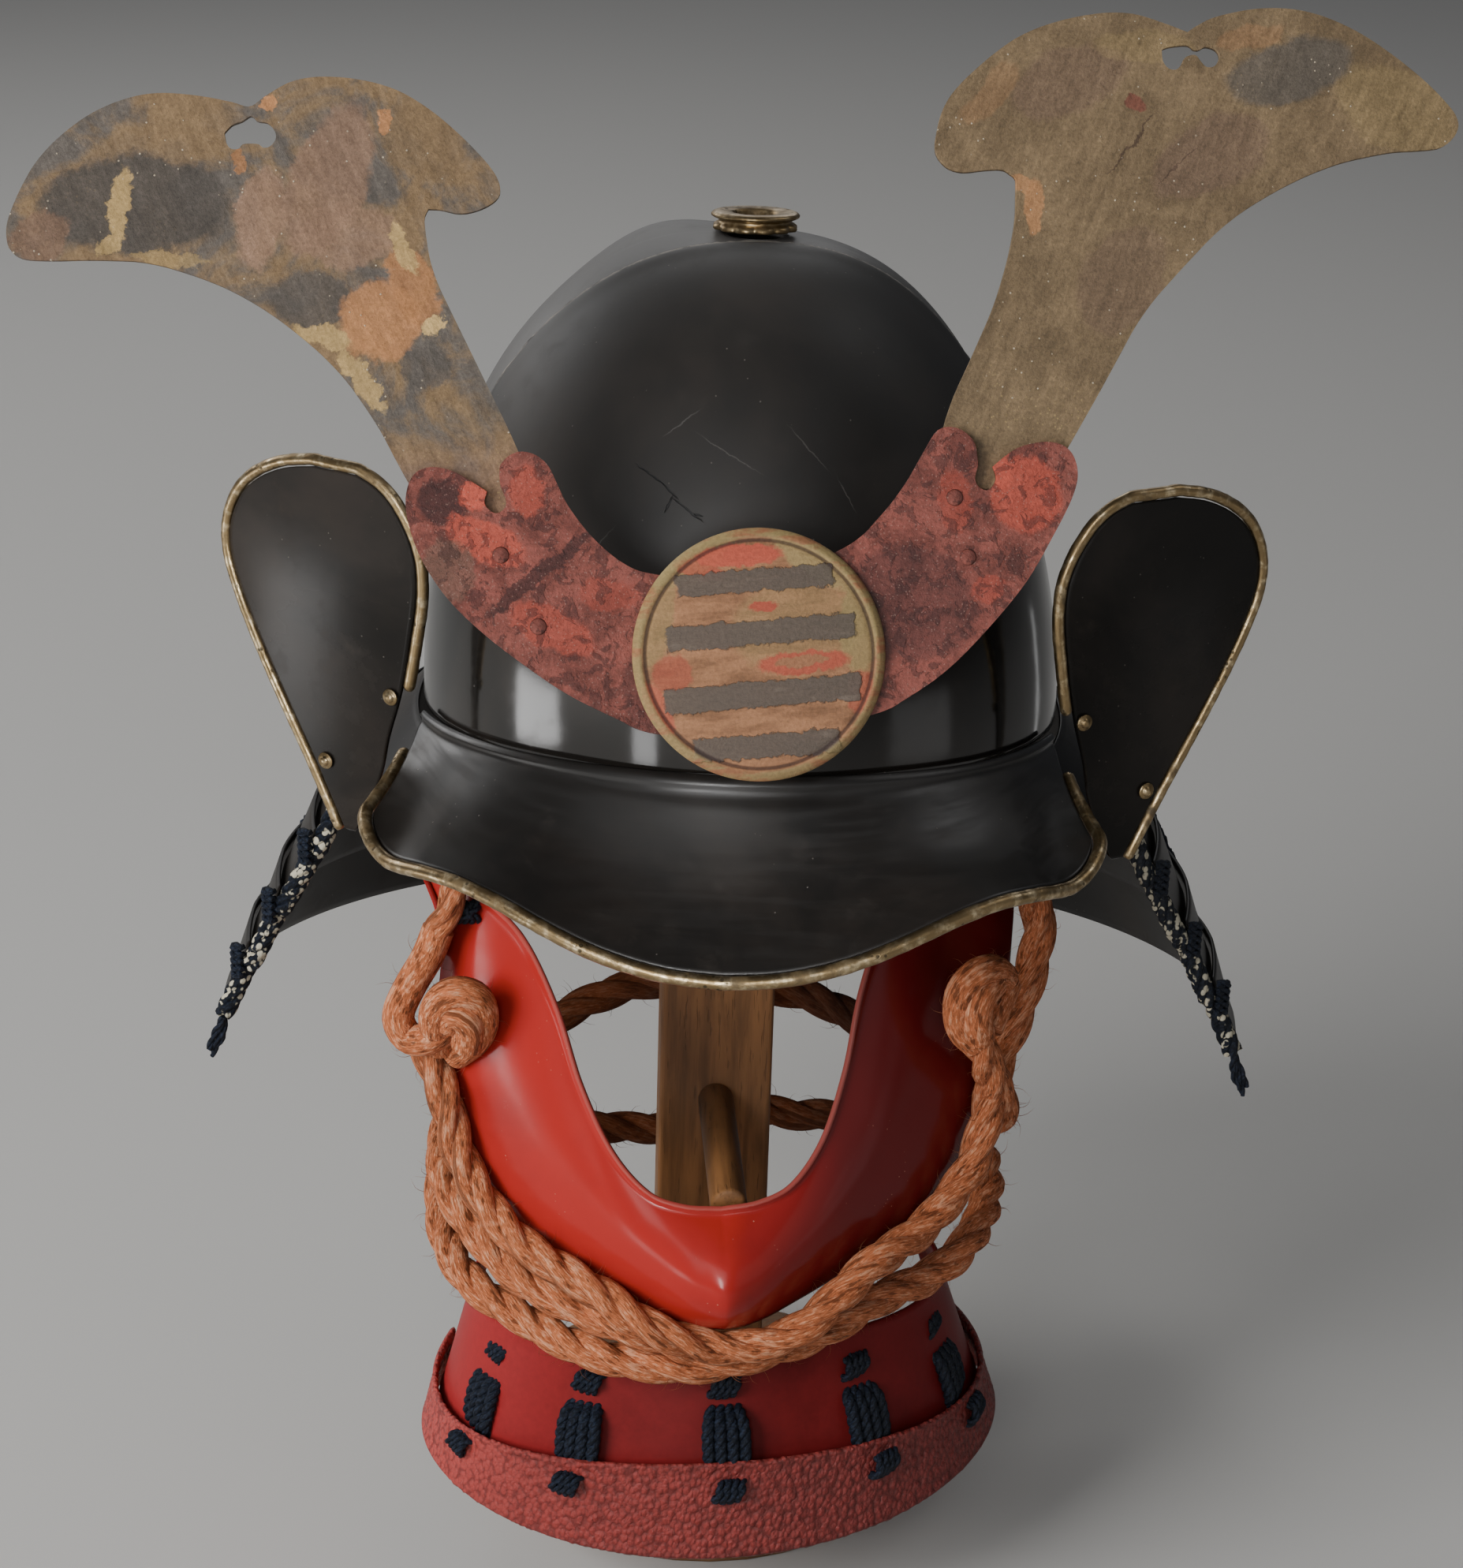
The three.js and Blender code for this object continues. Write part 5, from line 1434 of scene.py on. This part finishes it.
def twisted_mesh(routes, strands, lay, radius, finish, sides=10, step=2.5, plump=1.13):
    """The mesh of ropes or braids of a given radius along the routes, in millimetres."""
    tree = bpy.data.node_groups.get("twisted_strands") or twist_tree()
    strand = radius / (1 + 1 / sin(pi / strands)) * plump if strands > 1 else radius
    core = radius - strand if strands > 1 else 0.0
    path = path_object("path", routes)
    mesh = tree_mesh(path, tree, {
        "Strands": strands, "Lay": lay, "Core": core * MM, "Strand": strand * MM,
        "Step": step * MM, "Sides": sides, "Material": finish,
    })
    bpy.data.objects.remove(path)
    return mesh


# ------------------------------------------------------------------------------- pieces


class MakeBowl(bpy.types.Operator):
    """Makes the lacquered bowl and the petalled brass ring on its crown"""

    bl_idname = "helmet.make_bowl"
    bl_label = "Bowl and crown ring"

    def execute(self, context):
        c = colours()
        finish = lacquer_finish("bowl_lacquer", c.lacquer, c.lacquer_brown, 0.1, 0.5, bowl=True)
        mesh = shell_mesh(lambda u, v: plated_bowl_point(u * 2 * pi, v), 220, 96, BOWL.wall,
                          PLACE.helmet, loop=True)
        make_object("bowl_shell", mesh, finish, ["bowl"])
        self.ring()
        return {"FINISHED"}

    def ring(self):
        """The petalled ring round the crown's hole."""
        around = TEHEN.petals * 2 * 6
        r, h = TEHEN.radius - TEHEN.tuck, TEHEN.height
        profile = [
            (r - 0.4, 0.0, 1), (r, 0.6, 1), (r - 0.2, 1.4, 1), (r - 1.0, 2.0, 0.6),
            (r - 1.8, 2.4, 0.3), (r - 2.2, 3.0, 0), (r - 2.0, 3.5, 0), (r - 0.6, 3.9, 0),
            (r + 0.3, 4.4, 0), (r + 0.4, 5.0, 0), (r - 0.2, 5.6, 0), (r - 1.2, h, 0),
            (TEHEN.hole + 0.6, h - 0.3, 0), (TEHEN.hole, h - 0.9, 0), (TEHEN.hole, 0.0, 0),
        ]
        tip = Matrix.Translation((0, BOWL.apex_back, BOWL.height + TEHEN.lift))
        place = PLACE.helmet @ tip @ Matrix.Rotation(TEHEN.tilt, 4, "X")
        points, faces = [], []
        for radius, z, petal in profile:
            for i in range(around):
                a = i * 2 * pi / around
                wave = 0.5 - 0.5 * cos(a * TEHEN.petals)
                reach = radius - TEHEN.petal_depth * petal * (1 - wave**0.5)
                points.append(place @ Vector((reach * sin(a), -reach * cos(a), z)))
        for k in range(len(profile)):
            above = ((k + 1) % len(profile)) * around
            for i in range(around):
                j = (i + 1) % around
                faces.append([k * around + i, k * around + j, above + j, above + i])
        brass = brass_finish("dull_brass", 0.85, 0.45)
        make_object("crown_ring", mesh_from(points, faces), brass, ["tehen_ring"])


class MakeBrim(bpy.types.Operator):
    """Makes the brim and its brass edging"""

    bl_idname = "helmet.make_brim"
    bl_label = "Brim"

    def execute(self, context):
        c = colours()
        finish = lacquer_finish("brim_lacquer", c.lacquer, c.lacquer_brown, 0.34, 0.6, 0.1)

        def lipped(u, v):
            p = rounded_brim_point(u, v)
            lip = exp(-(((v - 0.965) / 0.022) ** 2)) * 0.9 - exp(-(((v - 0.9) / 0.03) ** 2)) * 0.5
            out = Vector((p.x, p.y, 0)).normalized()
            return p + out * lip

        mesh = shell_mesh(lipped, 200, 60, BRIM.wall, PLACE.helmet)
        make_object("brim_plate", mesh, finish, ["brim"])
        walk = [(0, v) for v in (0.66, 0.5, 0.36, 0.24, 0.14, 0.07, 0.025)]
        walk += [(u, 0) for u in (0, 0.006, 0.014, 0.024, 0.038, 0.056, 0.08)]
        walk += [(0.11 + 0.03 * k, 0) for k in range(13)]
        walk += [(0.5, 0), *((1 - u, v) for u, v in reversed(walk))]
        line = [PLACE.helmet @ p for p in beside_edge(rounded_brim_point, walk, BRIM.wall, RIM_RADIUS)]
        edging = sweep_mesh(smooth_line(line, 1.2), lumpy(RIM_RADIUS, 300), 12)
        make_object("brim_edging", edging, brass_finish("aged_brass"), ["brim_rim"])
        return {"FINISHED"}


class MakeSidePlates(bpy.types.Operator):
    """Makes the two turned-back plates with their brass edgings and rivets"""

    bl_idname = "helmet.make_side_plates"
    bl_label = "Side plates"

    def execute(self, context):
        c = colours()
        finish = lacquer_finish("side_plate_lacquer", c.lacquer, rgb(c.lacquer_brown, 1.2), 0.24, 0.15)
        brass = bpy.data.materials["aged_brass"]
        for side, sign in SIDES:
            flip = Matrix.Diagonal((sign, 1, 1, 1))
            sheet = ear_point if sign > 0 else mirrored(ear_point)
            plate = shell_mesh(sheet, 48, 96, EAR.wall, PLACE.helmet)
            make_object(f"side_plate_{side}", plate, finish, [f"fukigaeshi_{side}"])
            rows = [k / 48 for k in range(49)]
            inner = [(0, v) for v in reversed(rows[15:])]
            walk = [*((1, v) for v in rows), (0.66, 1), (0.33, 1), *inner]
            line = beside_edge(ear_point, walk, EAR.wall, EAR_RIM_RADIUS)
            line = [PLACE.helmet @ flip @ p for p in line]
            edging = sweep_mesh(smooth_line(line, 1.2), lumpy(EAR_RIM_RADIUS, 240), 12)
            make_object(f"side_edging_{side}", edging, brass, [f"fukigaeshi_rim_{side}"])
            for level in ("upper", "lower"):
                rivet = getattr(EAR_RIVETS, level)
                normal = Vector((sin(EAR.turn), -cos(EAR.turn), 0))
                seat = flip @ (ear_place(rivet.across, rivet.z) + normal * (GAP + 0.2))
                place = PLACE.helmet @ standing(seat, flip @ normal)
                head = dome_mesh(place, RIVET.radius, RIVET.height - 0.3, RIVET.radius - 0.2)
                node = f"rivet_{side}_{level}"
                make_object(f"side_{node}", head, brass, [node])
        return {"FINISHED"}


class MakeNeckGuard(bpy.types.Operator):
    """Makes the neck guard's lames, their laces and the flecked braids at their ends"""

    bl_idname = "helmet.make_neck_guard"
    bl_label = "Neck guard"

    def execute(self, context):
        c = colours()
        tone, brown = rgb(c.lacquer, 1.2), rgb(c.lacquer_brown, 1.1)
        finish = lacquer_finish("lame_lacquer", tone, brown, 0.4, 0.2)
        for number, lame in enumerate(LAMES, 1):
            mesh = shell_mesh(self.sheet(lame), 260, 12, LAME.wall, PLACE.helmet)
            make_object(f"neck_plate_{number}", mesh, finish, [f"neck_lame_{number}"])
        silk = silk_finish("navy_silk", c.navy)
        self.laces(silk)
        self.braids(silk, silk_finish("flecked_silk", rgb(c.navy, 0.7), c.fleck, 420))
        return {"FINISHED"}

    def sheet(self, lame):
        """A lame with its lower edge rolled a little outwards."""
        start = radians(lame.start)

        def point(u, v):
            angle = mix(start, 2 * pi - start, u)
            p = skirt_point(angle, mix(lame.low_out, lame.top_out, v),
                            mix(lame.low_drop, lame.top_drop, v))
            roll = exp(-((v / 0.12) ** 2)) * 0.5
            return p + Vector((p.x, p.y, 0)).normalized() * roll

        return point

    def laces(self, silk):
        """Pairs of upright cords that cross over each lame's lower edge."""
        for number, degrees in enumerate(LACE.columns, 1):
            angle = radians(degrees)
            side = Vector((cos(angle), sin(angle), 0))
            out = Vector((sin(angle), -cos(angle), 0))
            routes = []
            for lame in LAMES[1:]:
                high = skirt_point(angle, lame.top_out + LACE.lift, lame.top_drop + 2)
                low = skirt_point(angle, lame.low_out + LACE.lift, lame.low_drop - 5)
                for sign in (-1, 1):
                    shift = side * (sign * LACE.apart)
                    cross = low.lerp(high, 0.3) + out * (0.5 + 0.35 * sign)
                    end = low - shift * 1.3
                    routes.append([
                        high + shift - out * 1.2, high + shift + out * 0.4,
                        low.lerp(high, 0.6) + shift + out * 0.4, cross + shift * 0.2,
                        end + out * 0.3, end - out * 1.3,
                    ])
            mesh = twisted_mesh(placed(routes, PLACE.helmet), 3, 9 * MM, 1.7, silk, 6, 1.6)
            make_object(f"neck_lacing_{number}", mesh, silk, [f"neck_lace_{number}"])

    def braids(self, silk, flecked):
        """The flecked braid down each front end, tied to every lame with navy cord."""
        for side, sign in SIDES:
            flip = Matrix.Diagonal((sign, 1, 1, 1))
            points = []
            for k, lame in enumerate(LAMES[1:]):
                beside = (BRAID.radius + 6 * GAP) / (BOWL.half_width + lame.low_out)
                angle = radians(lame.start) - beside
                high = BRAID.start_out if k == 0 else 0
                points.append(skirt_point(angle, lame.top_out + high, lame.top_drop + 5))
                points.append(skirt_point(angle, lame.low_out, lame.low_drop - 4))
            ties = [p.lerp(q, 0.5) for p, q in zip(points[1::2], points[2::2])]
            ties.append(points[0])
            points.append(points[-1] + Vector(BRAID.tail))
            route = [PLACE.helmet @ flip @ p for p in points]
            braid = twisted_mesh([route[:-1]], 4, sizes().braid_lay, 3.7, flecked, 8, 1.4)
            tails = [[route[-2] + Vector((0, d, 0)), route[-2].lerp(route[-1], 0.5) + Vector((d, 0, 0)),
                      route[-1] + Vector((d * 0.6, d * 0.4, abs(d) * 2))] for d in (-1.6, 0.2, 1.7)]
            tail = twisted_mesh(tails, 2, 12 * MM, 1.4, silk, 6, 1.6)
            knots = []
            for tie in ties:
                out = Vector((tie.x, tie.y * 0.3, 0)).normalized()
                for turn in range(5):
                    rise = (turn - 2) * 2.6
                    ring = [tie + out * 3.5 + Vector((-1.5, -4.5 + turn * 0.4, rise + 2)),
                            tie + out * 5.6 + Vector((0, -1, rise + 1)),
                            tie + out * 4.6 + Vector((1, 4, rise - 1))]
                    knots.append([PLACE.helmet @ flip @ p for p in ring])
            knot = twisted_mesh(knots, 2, 9 * MM, 1.7, silk, 6, 1.4)
            whole = joined_mesh([braid, tail, knot])
            make_object(f"edge_braiding_{side}", whole, None, [f"edge_braid_{side}"])


class MakeCrest(bpy.types.Operator):
    """Makes the horns, the red arms with their nails, the disc and the hook"""

    bl_idname = "helmet.make_crest"
    bl_label = "Crest"

    def execute(self, context):
        bevel = sizes().edge_bevel
        red = arm_finish()
        for side, _ in SIDES:
            slot = "hornLeft" if side == "left" else "hornRight"
            for node, paint, where in ((f"horn_{side}", horn_finish(side), slot),
                                       (f"crest_arm_{side}", red, "arm")):
                outlines, depths = solid_outlines(node, PLACE.crest)
                outlines.sort(key=len, reverse=True)
                rings = [smooth_outline(outlines[0], 1.2, radians(48))]
                if node.startswith("horn"):
                    holes = [(*spot, 0) for spot in HORN_HOLES[side]]
                    rings.append(smooth_outline([Vector(spot) for spot in holes], 0.8, pi))
                mesh = plate_mesh(rings, depths, bevel, PLACE.crest)
                make_object(f"{node}_plate", mesh, paint, [node], None)
        seats = [PLACE.crest @ Matrix.Translation((*spot, NAIL.lift)) for spot in ARM_NAILS]
        heads = [dome_mesh(seat, NAIL.radius, NAIL.height) for seat in seats]
        make_object("arm_nails", joined_mesh(heads), red)
        self.disc()
        hook = worn_copy("crest_hook", 1e-3, PLACE.crest)
        make_object("crest_hook_bar", hook, iron_finish(), ["crest_hook"])
        return {"FINISHED"}

    def disc(self):
        """The round disc, crowned, with a raised line inside its edge."""
        rows = []
        for k in range(DISC.rings + 1):
            share = k / DISC.rings
            r = DISC.radius * share
            z = DISC.edge + DISC.dome * (1 - share**2)
            z += 0.5 * exp(-(((r - DISC.line) / 0.7) ** 2))
            z -= 0.4 * exp(-(((r - DISC.groove) / 0.6) ** 2))
            z -= 0.9 * smoothstep(r, DISC.radius - 1.4, DISC.radius)
            rows.append((r, z))
        rows += [(DISC.radius, DISC.edge * 0.5), (DISC.radius - 0.4, GAP), (0, GAP)]
        mesh = turned_mesh(rows, 128, PLACE.crest)
        make_object("disc_face", mesh, disc_finish(), ["crest_disc"])


class MakeFaceGuard(bpy.types.Operator):
    """Makes the vermilion half face guard and the small tie at its corner"""

    bl_idname = "helmet.make_face_guard"
    bl_label = "Face guard"

    def execute(self, context):
        def ridged(u, v):
            share = abs(2 * u - 1)
            narrow = MASK_TUCK * smoothstep(share, 0.66, 0.95) if u < 0.5 else 0
            v = mix(v, 1, narrow * (1 - v))
            p = mask_point(u, v)
            ridge = exp(-((share / MASK.ridge_wide) ** 2)) * sin(pi * clamp(v * 1.1)) * MASK.ridge
            roll = exp(-(((1 - v) / 0.03) ** 2)) * MASK.roll
            reach = MASK_REACH[0 if u < 0.5 else 1] * (1 - smoothstep(v, 0, 0.5))
            reach *= smoothstep(share, 0.22, 0.5)
            aside = Vector((-1 if u < 0.5 else 1, 0.55, 0)) * reach
            return p + Vector((p.x, p.y + MASK.middle, 0)).normalized() * (ridge + roll) + aside

        mesh = shell_mesh(ridged, 260, 56, MASK.wall, PLACE.guard)
        make_object("face_guard", mesh, vermilion_finish(), ["mask"])
        turns = [
            [CORNER_TIE + Vector(p)
             for p in ((x, 2.2, -4), (x * 0.8, -1.2, -1), (-x * 0.6, -1.4, 2), (-x, 1.8, 4))]
            for x in (-3.4, -1.2, 1.2, 3.4)
        ]
        silk = bpy.data.materials["navy_silk"]
        make_object("guard_corner_tie", twisted_mesh(turns, 2, 9 * MM, 1.6, silk, 6, 1.2), silk)
        return {"FINISHED"}


class MakeThroatGuard(bpy.types.Operator):
    """Makes the two throat lames and the navy laces that hang the lower one"""

    bl_idname = "helmet.make_throat_guard"
    bl_label = "Throat guard"

    def execute(self, context):
        c = colours()
        upper = shell_mesh(self.sheet(THROAT_FLARED, 0), 220, 24, THROAT.wall, PLACE.guard)
        make_object("throat_plate_upper", upper, throat_finish("maroon_lacquer", c.maroon, False),
                    ["throat_lame_upper"])
        height = sizes().pebble_height / MM
        lower = shell_mesh(self.sheet(THROAT_LOWER, height), 420, 50, THROAT.wall, PLACE.guard)
        make_object("throat_plate_lower", lower, throat_finish("pebbled_lacquer", c.pebbled, True),
                    ["throat_lame_lower"])
        self.laces(bpy.data.materials["navy_silk"])
        return {"FINISHED"}

    def sheet(self, lame, pebbles):
        """A lame with a soft rolled edge, and pebbled relief where a height is given."""

        def point(u, v):
            angle = mix(-THROAT.reach, THROAT.reach, u)
            p = throat_point(lame, angle, v)
            out = Vector((sin(angle), -cos(angle), 0))
            roll = exp(-(((1 - v) / 0.06) ** 2)) * 0.5 + exp(-((v / 0.06) ** 2)) * 0.4
            if pebbles:
                grain = noise.noise(p * 0.42) * 0.6 + noise.noise(p * 0.9) * 0.7
                roll += grain * pebbles * smoothstep(min(v, 1 - v), 0, 0.04)
            return p + out * roll

        return point

    def laces(self, silk):
        """Bundles of cords from the upper lame to behind the lower one, each with two dots."""
        for number, degrees in enumerate(THROAT_LACE_ANGLES, 1):
            angle = radians(degrees)
            side = Vector((cos(angle), sin(angle), 0))
            out = Vector((sin(angle), -cos(angle), 0))
            top = throat_point(THROAT_UPPER, angle, 0.5)
            low = throat_point(THROAT_UPPER, angle, 0.1)
            cords, dots = [], []
            for place in (-1.5, -0.5, 0.5, 1.5):
                shift = side * (place * 4.1)
                belly = out * (4.2 - 0.6 * abs(place))
                cords.append([
                    top + shift * 0.7 - out * 1.4, top.lerp(low, 0.15) + shift * 0.95 + belly * 0.8,
                    top.lerp(low, 0.5) + shift * 1.05 + belly, low + shift + belly * 0.8,
                    low + shift * 0.9 - Vector((0, 0, 5)) + out * 0.6,
                ])
            for lame, up in ((THROAT_UPPER, 0.7), (THROAT_LOWER, 0.72)):
                for place in (-1.5, -0.5, 0.5, 1.5):
                    middle = throat_point(lame, angle, up) + side * (place * 2.5)
                    lean = side * 1.4 + Vector((0, 0, 4.2 - 0.6 * abs(place)))
                    lift = out * 2.3
                    dots.append([
                        middle - lean - out * 1.5, middle - lean * 0.8 + lift * 0.8,
                        middle + lift * 1.15, middle + lean * 0.8 + lift * 0.8,
                        middle + lean - out * 1.5,
                    ])
            bundle = twisted_mesh(placed(cords, PLACE.guard), 3, 11 * MM, 2.5, silk, 7, 1.2)
            knots = twisted_mesh(placed(dots, PLACE.guard), 2, 9 * MM, 1.7, silk, 7, 1.0)
            make_object(f"throat_lacing_{number}", joined_mesh([bundle, knots]), None,
                        [f"throat_lace_{number}"])


class MakeChinRope(bpy.types.Operator):
    """Makes the twisted chin rope with its knots and its loose fibres"""

    bl_idname = "helmet.make_chin_rope"
    bl_label = "Chin rope"

    def execute(self, context):
        finish = hemp_finish()
        lay = sizes().rope_lay
        routes = {name: [Vector(p) for p in route] for name, route in CORD_ROUTES.items()}
        # in front the turns lie closer together than the solids' centre lines
        for p in routes["neck"]:
            ahead = smoothstep(-p.y, 20, 60)
            p.z += ROPE_RISE.neck * ahead + ROPE_RISE.neck_right * smoothstep(p.x, 20, 50) * ahead
        for p in (*routes["jaw"], *routes["behind"][:5]):
            p.z += ROPE_RISE.jaw * smoothstep(-p.y, 75, 95)
        top = twisted_mesh([routes.pop("from_helmet")], 3, lay, TOP_RADIUS, finish, 12, 2.4, 1.3)
        length = twisted_mesh(routes.values(), 3, lay, ROPE_RADIUS, finish, 12, 2.4, 1.2)
        knots = twisted_mesh(KNOT_TURNS, 1, lay, KNOT_RADIUS, finish, 24, 1.8)
        mesh = joined_mesh([length, top, knots])
        rope = make_object("chin_rope", mesh, finish, ["chin_cord"])
        self.fibres(rope, finish)
        return {"FINISHED"}

    def fibres(self, rope, finish):
        """Loose hairs that stand off the rope."""
        reach = sizes().fibre_length / MM
        bend = [Vector(p) * reach for p in ((0, 0, 0), (0.25, 0, 0.35), (0.75, 0.1, 0.5))]
        shape = sweep_mesh(smooth_line(bend, reach / 4), lambda share: 0.09 * (1.1 - share), 3)
        hair = bpy.data.objects.new("hair", shape)
        bpy.context.scene.collection.objects.link(hair)
        mesh = tree_mesh(rope, scatter_tree(), {
            "Copy": hair, "Density": float(sizes().fibre_count), "Seed": 3, "Lean": 0.5,
            "Material": finish,
        })
        bpy.data.objects.remove(hair)
        make_object("chin_rope_fibres", mesh, finish)


class MakeStand(bpy.types.Operator):
    """Makes the wooden stand: foot, post, peg and the rest inside the bowl"""

    bl_idname = "helmet.make_stand"
    bl_label = "Stand"

    def execute(self, context):
        # painted light: the post's wood is made far lighter than the foot's and the rest's, standing
        # for the stronger light that falls on it
        upright = wood_finish("upright_wood", 1.7)
        level = wood_finish("level_wood", 0.95, (12, 1, 1))
        peg = wood_finish("peg_wood", 1.15, (1, 12, 1))
        for node, finish, bevel in (("stand_base", level, 0.0012), ("stand_post", upright, 0.0016),
                                    ("stand_top", level, 0.0012), ("stand_peg", peg, 0.0016)):
            mesh = worn_copy(node, bevel, PLACE.whole, 3)
            make_object(f"{node}_wood", mesh, finish, [node], node == "stand_peg")
        return {"FINISHED"}


MIDDLE, BROW, BOWL_FRONT = (0, 0, 0.27), (0, 0, 0.4), (-0.03, -0.12, 0.34)
# the studio's lights, in metres and watts; some only light colours, some only show in gloss
LAMPS = table(
    "name place aim size power use",
    ("key", (-2.0, -1.3, 1.25), MIDDLE, (1.5, 1.5), 95, "colour"),
    ("fill", (1.9, -1.6, 0.9), MIDDLE, (1.5, 1.5), 3, "both"),
    ("front", (-0.4, -2.4, 1.5), MIDDLE, (1.2, 1.2), 14, "both"),
    ("back", (-0.9, 1.8, 1.9), MIDDLE, (2.0, 1.4), 16, "colour"),
    ("sheen_left", (-0.95, -1.05, 1.75), BROW, (0.9, 0.9), 1.7, "gloss"),
    ("sheen_rear", (-1.45, 1.4, 1.1), BROW, (1.3, 0.7), 12, "gloss"),
    ("sheen_back", (0.0, 1.6, 1.2), BROW, (1.2, 0.9), 5, "gloss"),
    ("sheen_right", (1.3, 0.2, 1.9), BROW, (1.0, 0.8), 4, "gloss"),
    ("sheen_low", (0.85, -0.42, 0.13), (0.1, -0.05, 0.37), (0.35, 0.22), 0.12, "gloss"),
    ("window", (-0.79, -0.17, 0.13), (-0.05, -0.12, 0.34), (0.25, 0.14), 0.95, "gloss"),
    ("window_low", (-0.53, -0.67, 0.11), BOWL_FRONT, (0.14, 0.12), 0.35, "gloss"),
    ("window_right", (0.66, 0.46, 0.12), (0.1, 0, 0.34), (0.03, 0.2), 0.02, "gloss"),
    ("strip", (-0.33, -1.5, 0.62), (0, -0.1, 0.18), (0.12, 0.45), 10, "gloss"),
)
SKY = Sizes(colour=(0.9, 0.93, 1.0, 1.0), strength=0.1)
FLOOR = Sizes(half_width=6000, front=-4000, rear=9000, z=-0.2, colour=(0.5, 0.49, 0.47))
CAMERA = Sizes(
    azimuth=radians(-4), elevation=radians(24), roll=radians(1.8),
    aim=(-5.5, -118, 345), distance=1090, lens=79.135,
)


class MakeStage(bpy.types.Operator):
    """Makes the pale floor, the soft studio light and the camera"""

    bl_idname = "helmet.make_stage"
    bl_label = "Stage"

    def execute(self, context):
        self.floor()
        for row in LAMPS:
            self.lamp(row)
        world = bpy.data.worlds.new("studio")
        world.use_nodes = True
        sky = world.node_tree.nodes["Background"]
        sky.inputs["Color"].default_value = SKY.colour
        sky.inputs["Strength"].default_value = SKY.strength
        context.scene.world = world
        self.camera(context)
        return {"FINISHED"}

    def floor(self):
        """The pale floor, far larger than the object, just under its foot."""
        wide, front, rear = FLOOR.half_width, FLOOR.front, FLOOR.rear
        corners = ((-wide, front), (wide, front), (wide, rear), (-wide, rear))
        mesh = mesh_from([(x, y, FLOOR.z) for x, y in corners], [[0, 1, 2, 3]])
        mesh.materials.append(Finish("pale_floor").done(FLOOR.colour, 0.85))
        floor = bpy.data.objects.new("floor", mesh)
        bpy.context.scene.collection.objects.link(floor)

    def lamp(self, row):
        """A soft light that colours surfaces, shows in glossy ones, or both."""
        light = bpy.data.lights.new(row.name, "AREA")
        light.shape = "RECTANGLE"
        light.size, light.size_y = row.size
        light.energy = row.power
        lamp = bpy.data.objects.new(row.name, light)
        lamp.location = row.place
        away = Vector(row.aim) - Vector(row.place)
        lamp.rotation_euler = away.to_track_quat("-Z", "Y").to_euler()
        lamp.visible_camera = False
        lamp.visible_diffuse = row.use != "gloss"
        lamp.visible_glossy = row.use != "colour"
        bpy.context.scene.collection.objects.link(lamp)

    def camera(self, context):
        """The camera: above and a little left of the front, slightly rolled."""
        around, above = CAMERA.azimuth, CAMERA.elevation
        back = Vector((sin(around) * cos(above), -cos(around) * cos(above), sin(above)))
        right = Vector((cos(around), sin(around), 0))
        turn = Matrix((right, back.cross(right), back)).transposed().to_4x4()
        data = bpy.data.cameras.new("camera")
        data.lens = CAMERA.lens
        data.clip_end = 50
        camera = bpy.data.objects.new("camera", data)
        eye = (Vector(CAMERA.aim) + back * CAMERA.distance) * MM
        camera.matrix_world = (
            Matrix.Translation(eye) @ turn @ Matrix.Rotation(CAMERA.roll, 4, "Z")
        )
        bpy.context.scene.collection.objects.link(camera)
        context.scene.camera = camera


OPERATORS = (
    MakeBowl, MakeBrim, MakeSidePlates, MakeNeckGuard, MakeCrest, MakeFaceGuard,
    MakeThroatGuard, MakeChinRope, MakeStand, MakeStage,
)


class HelmetPanel(bpy.types.Panel):
    """The sidebar's list of sizes, colours and pieces"""

    bl_idname = "VIEW3D_PT_helmet"
    bl_label = "Samurai Helmet"
    bl_space_type = "VIEW_3D"
    bl_region_type = "UI"
    bl_category = "Helmet"

    def draw(self, context):
        layout = self.layout
        for group in (context.scene.helmet_sizes, context.scene.helmet_colours):
            box = layout.box()
            for name in group.__annotations__:
                box.prop(group, name)
        for operator in OPERATORS:
            layout.operator(operator.bl_idname)


CLASSES = (HelmetSizes, HelmetColours, *OPERATORS, HelmetPanel)


def register():
    for item in CLASSES:
        bpy.utils.register_class(item)
    bpy.types.Scene.helmet_sizes = bpy.props.PointerProperty(type=HelmetSizes)
    bpy.types.Scene.helmet_colours = bpy.props.PointerProperty(type=HelmetColours)


def unregister():
    del bpy.types.Scene.helmet_colours
    del bpy.types.Scene.helmet_sizes
    for item in reversed(CLASSES):
        bpy.utils.unregister_class(item)


def main():
    """Builds every piece around the frame."""
    register()
    for operator in OPERATORS:
        group, name = operator.bl_idname.split(".")
        getattr(getattr(bpy.ops, group), name)()


if __name__ == "__main__":
    main()
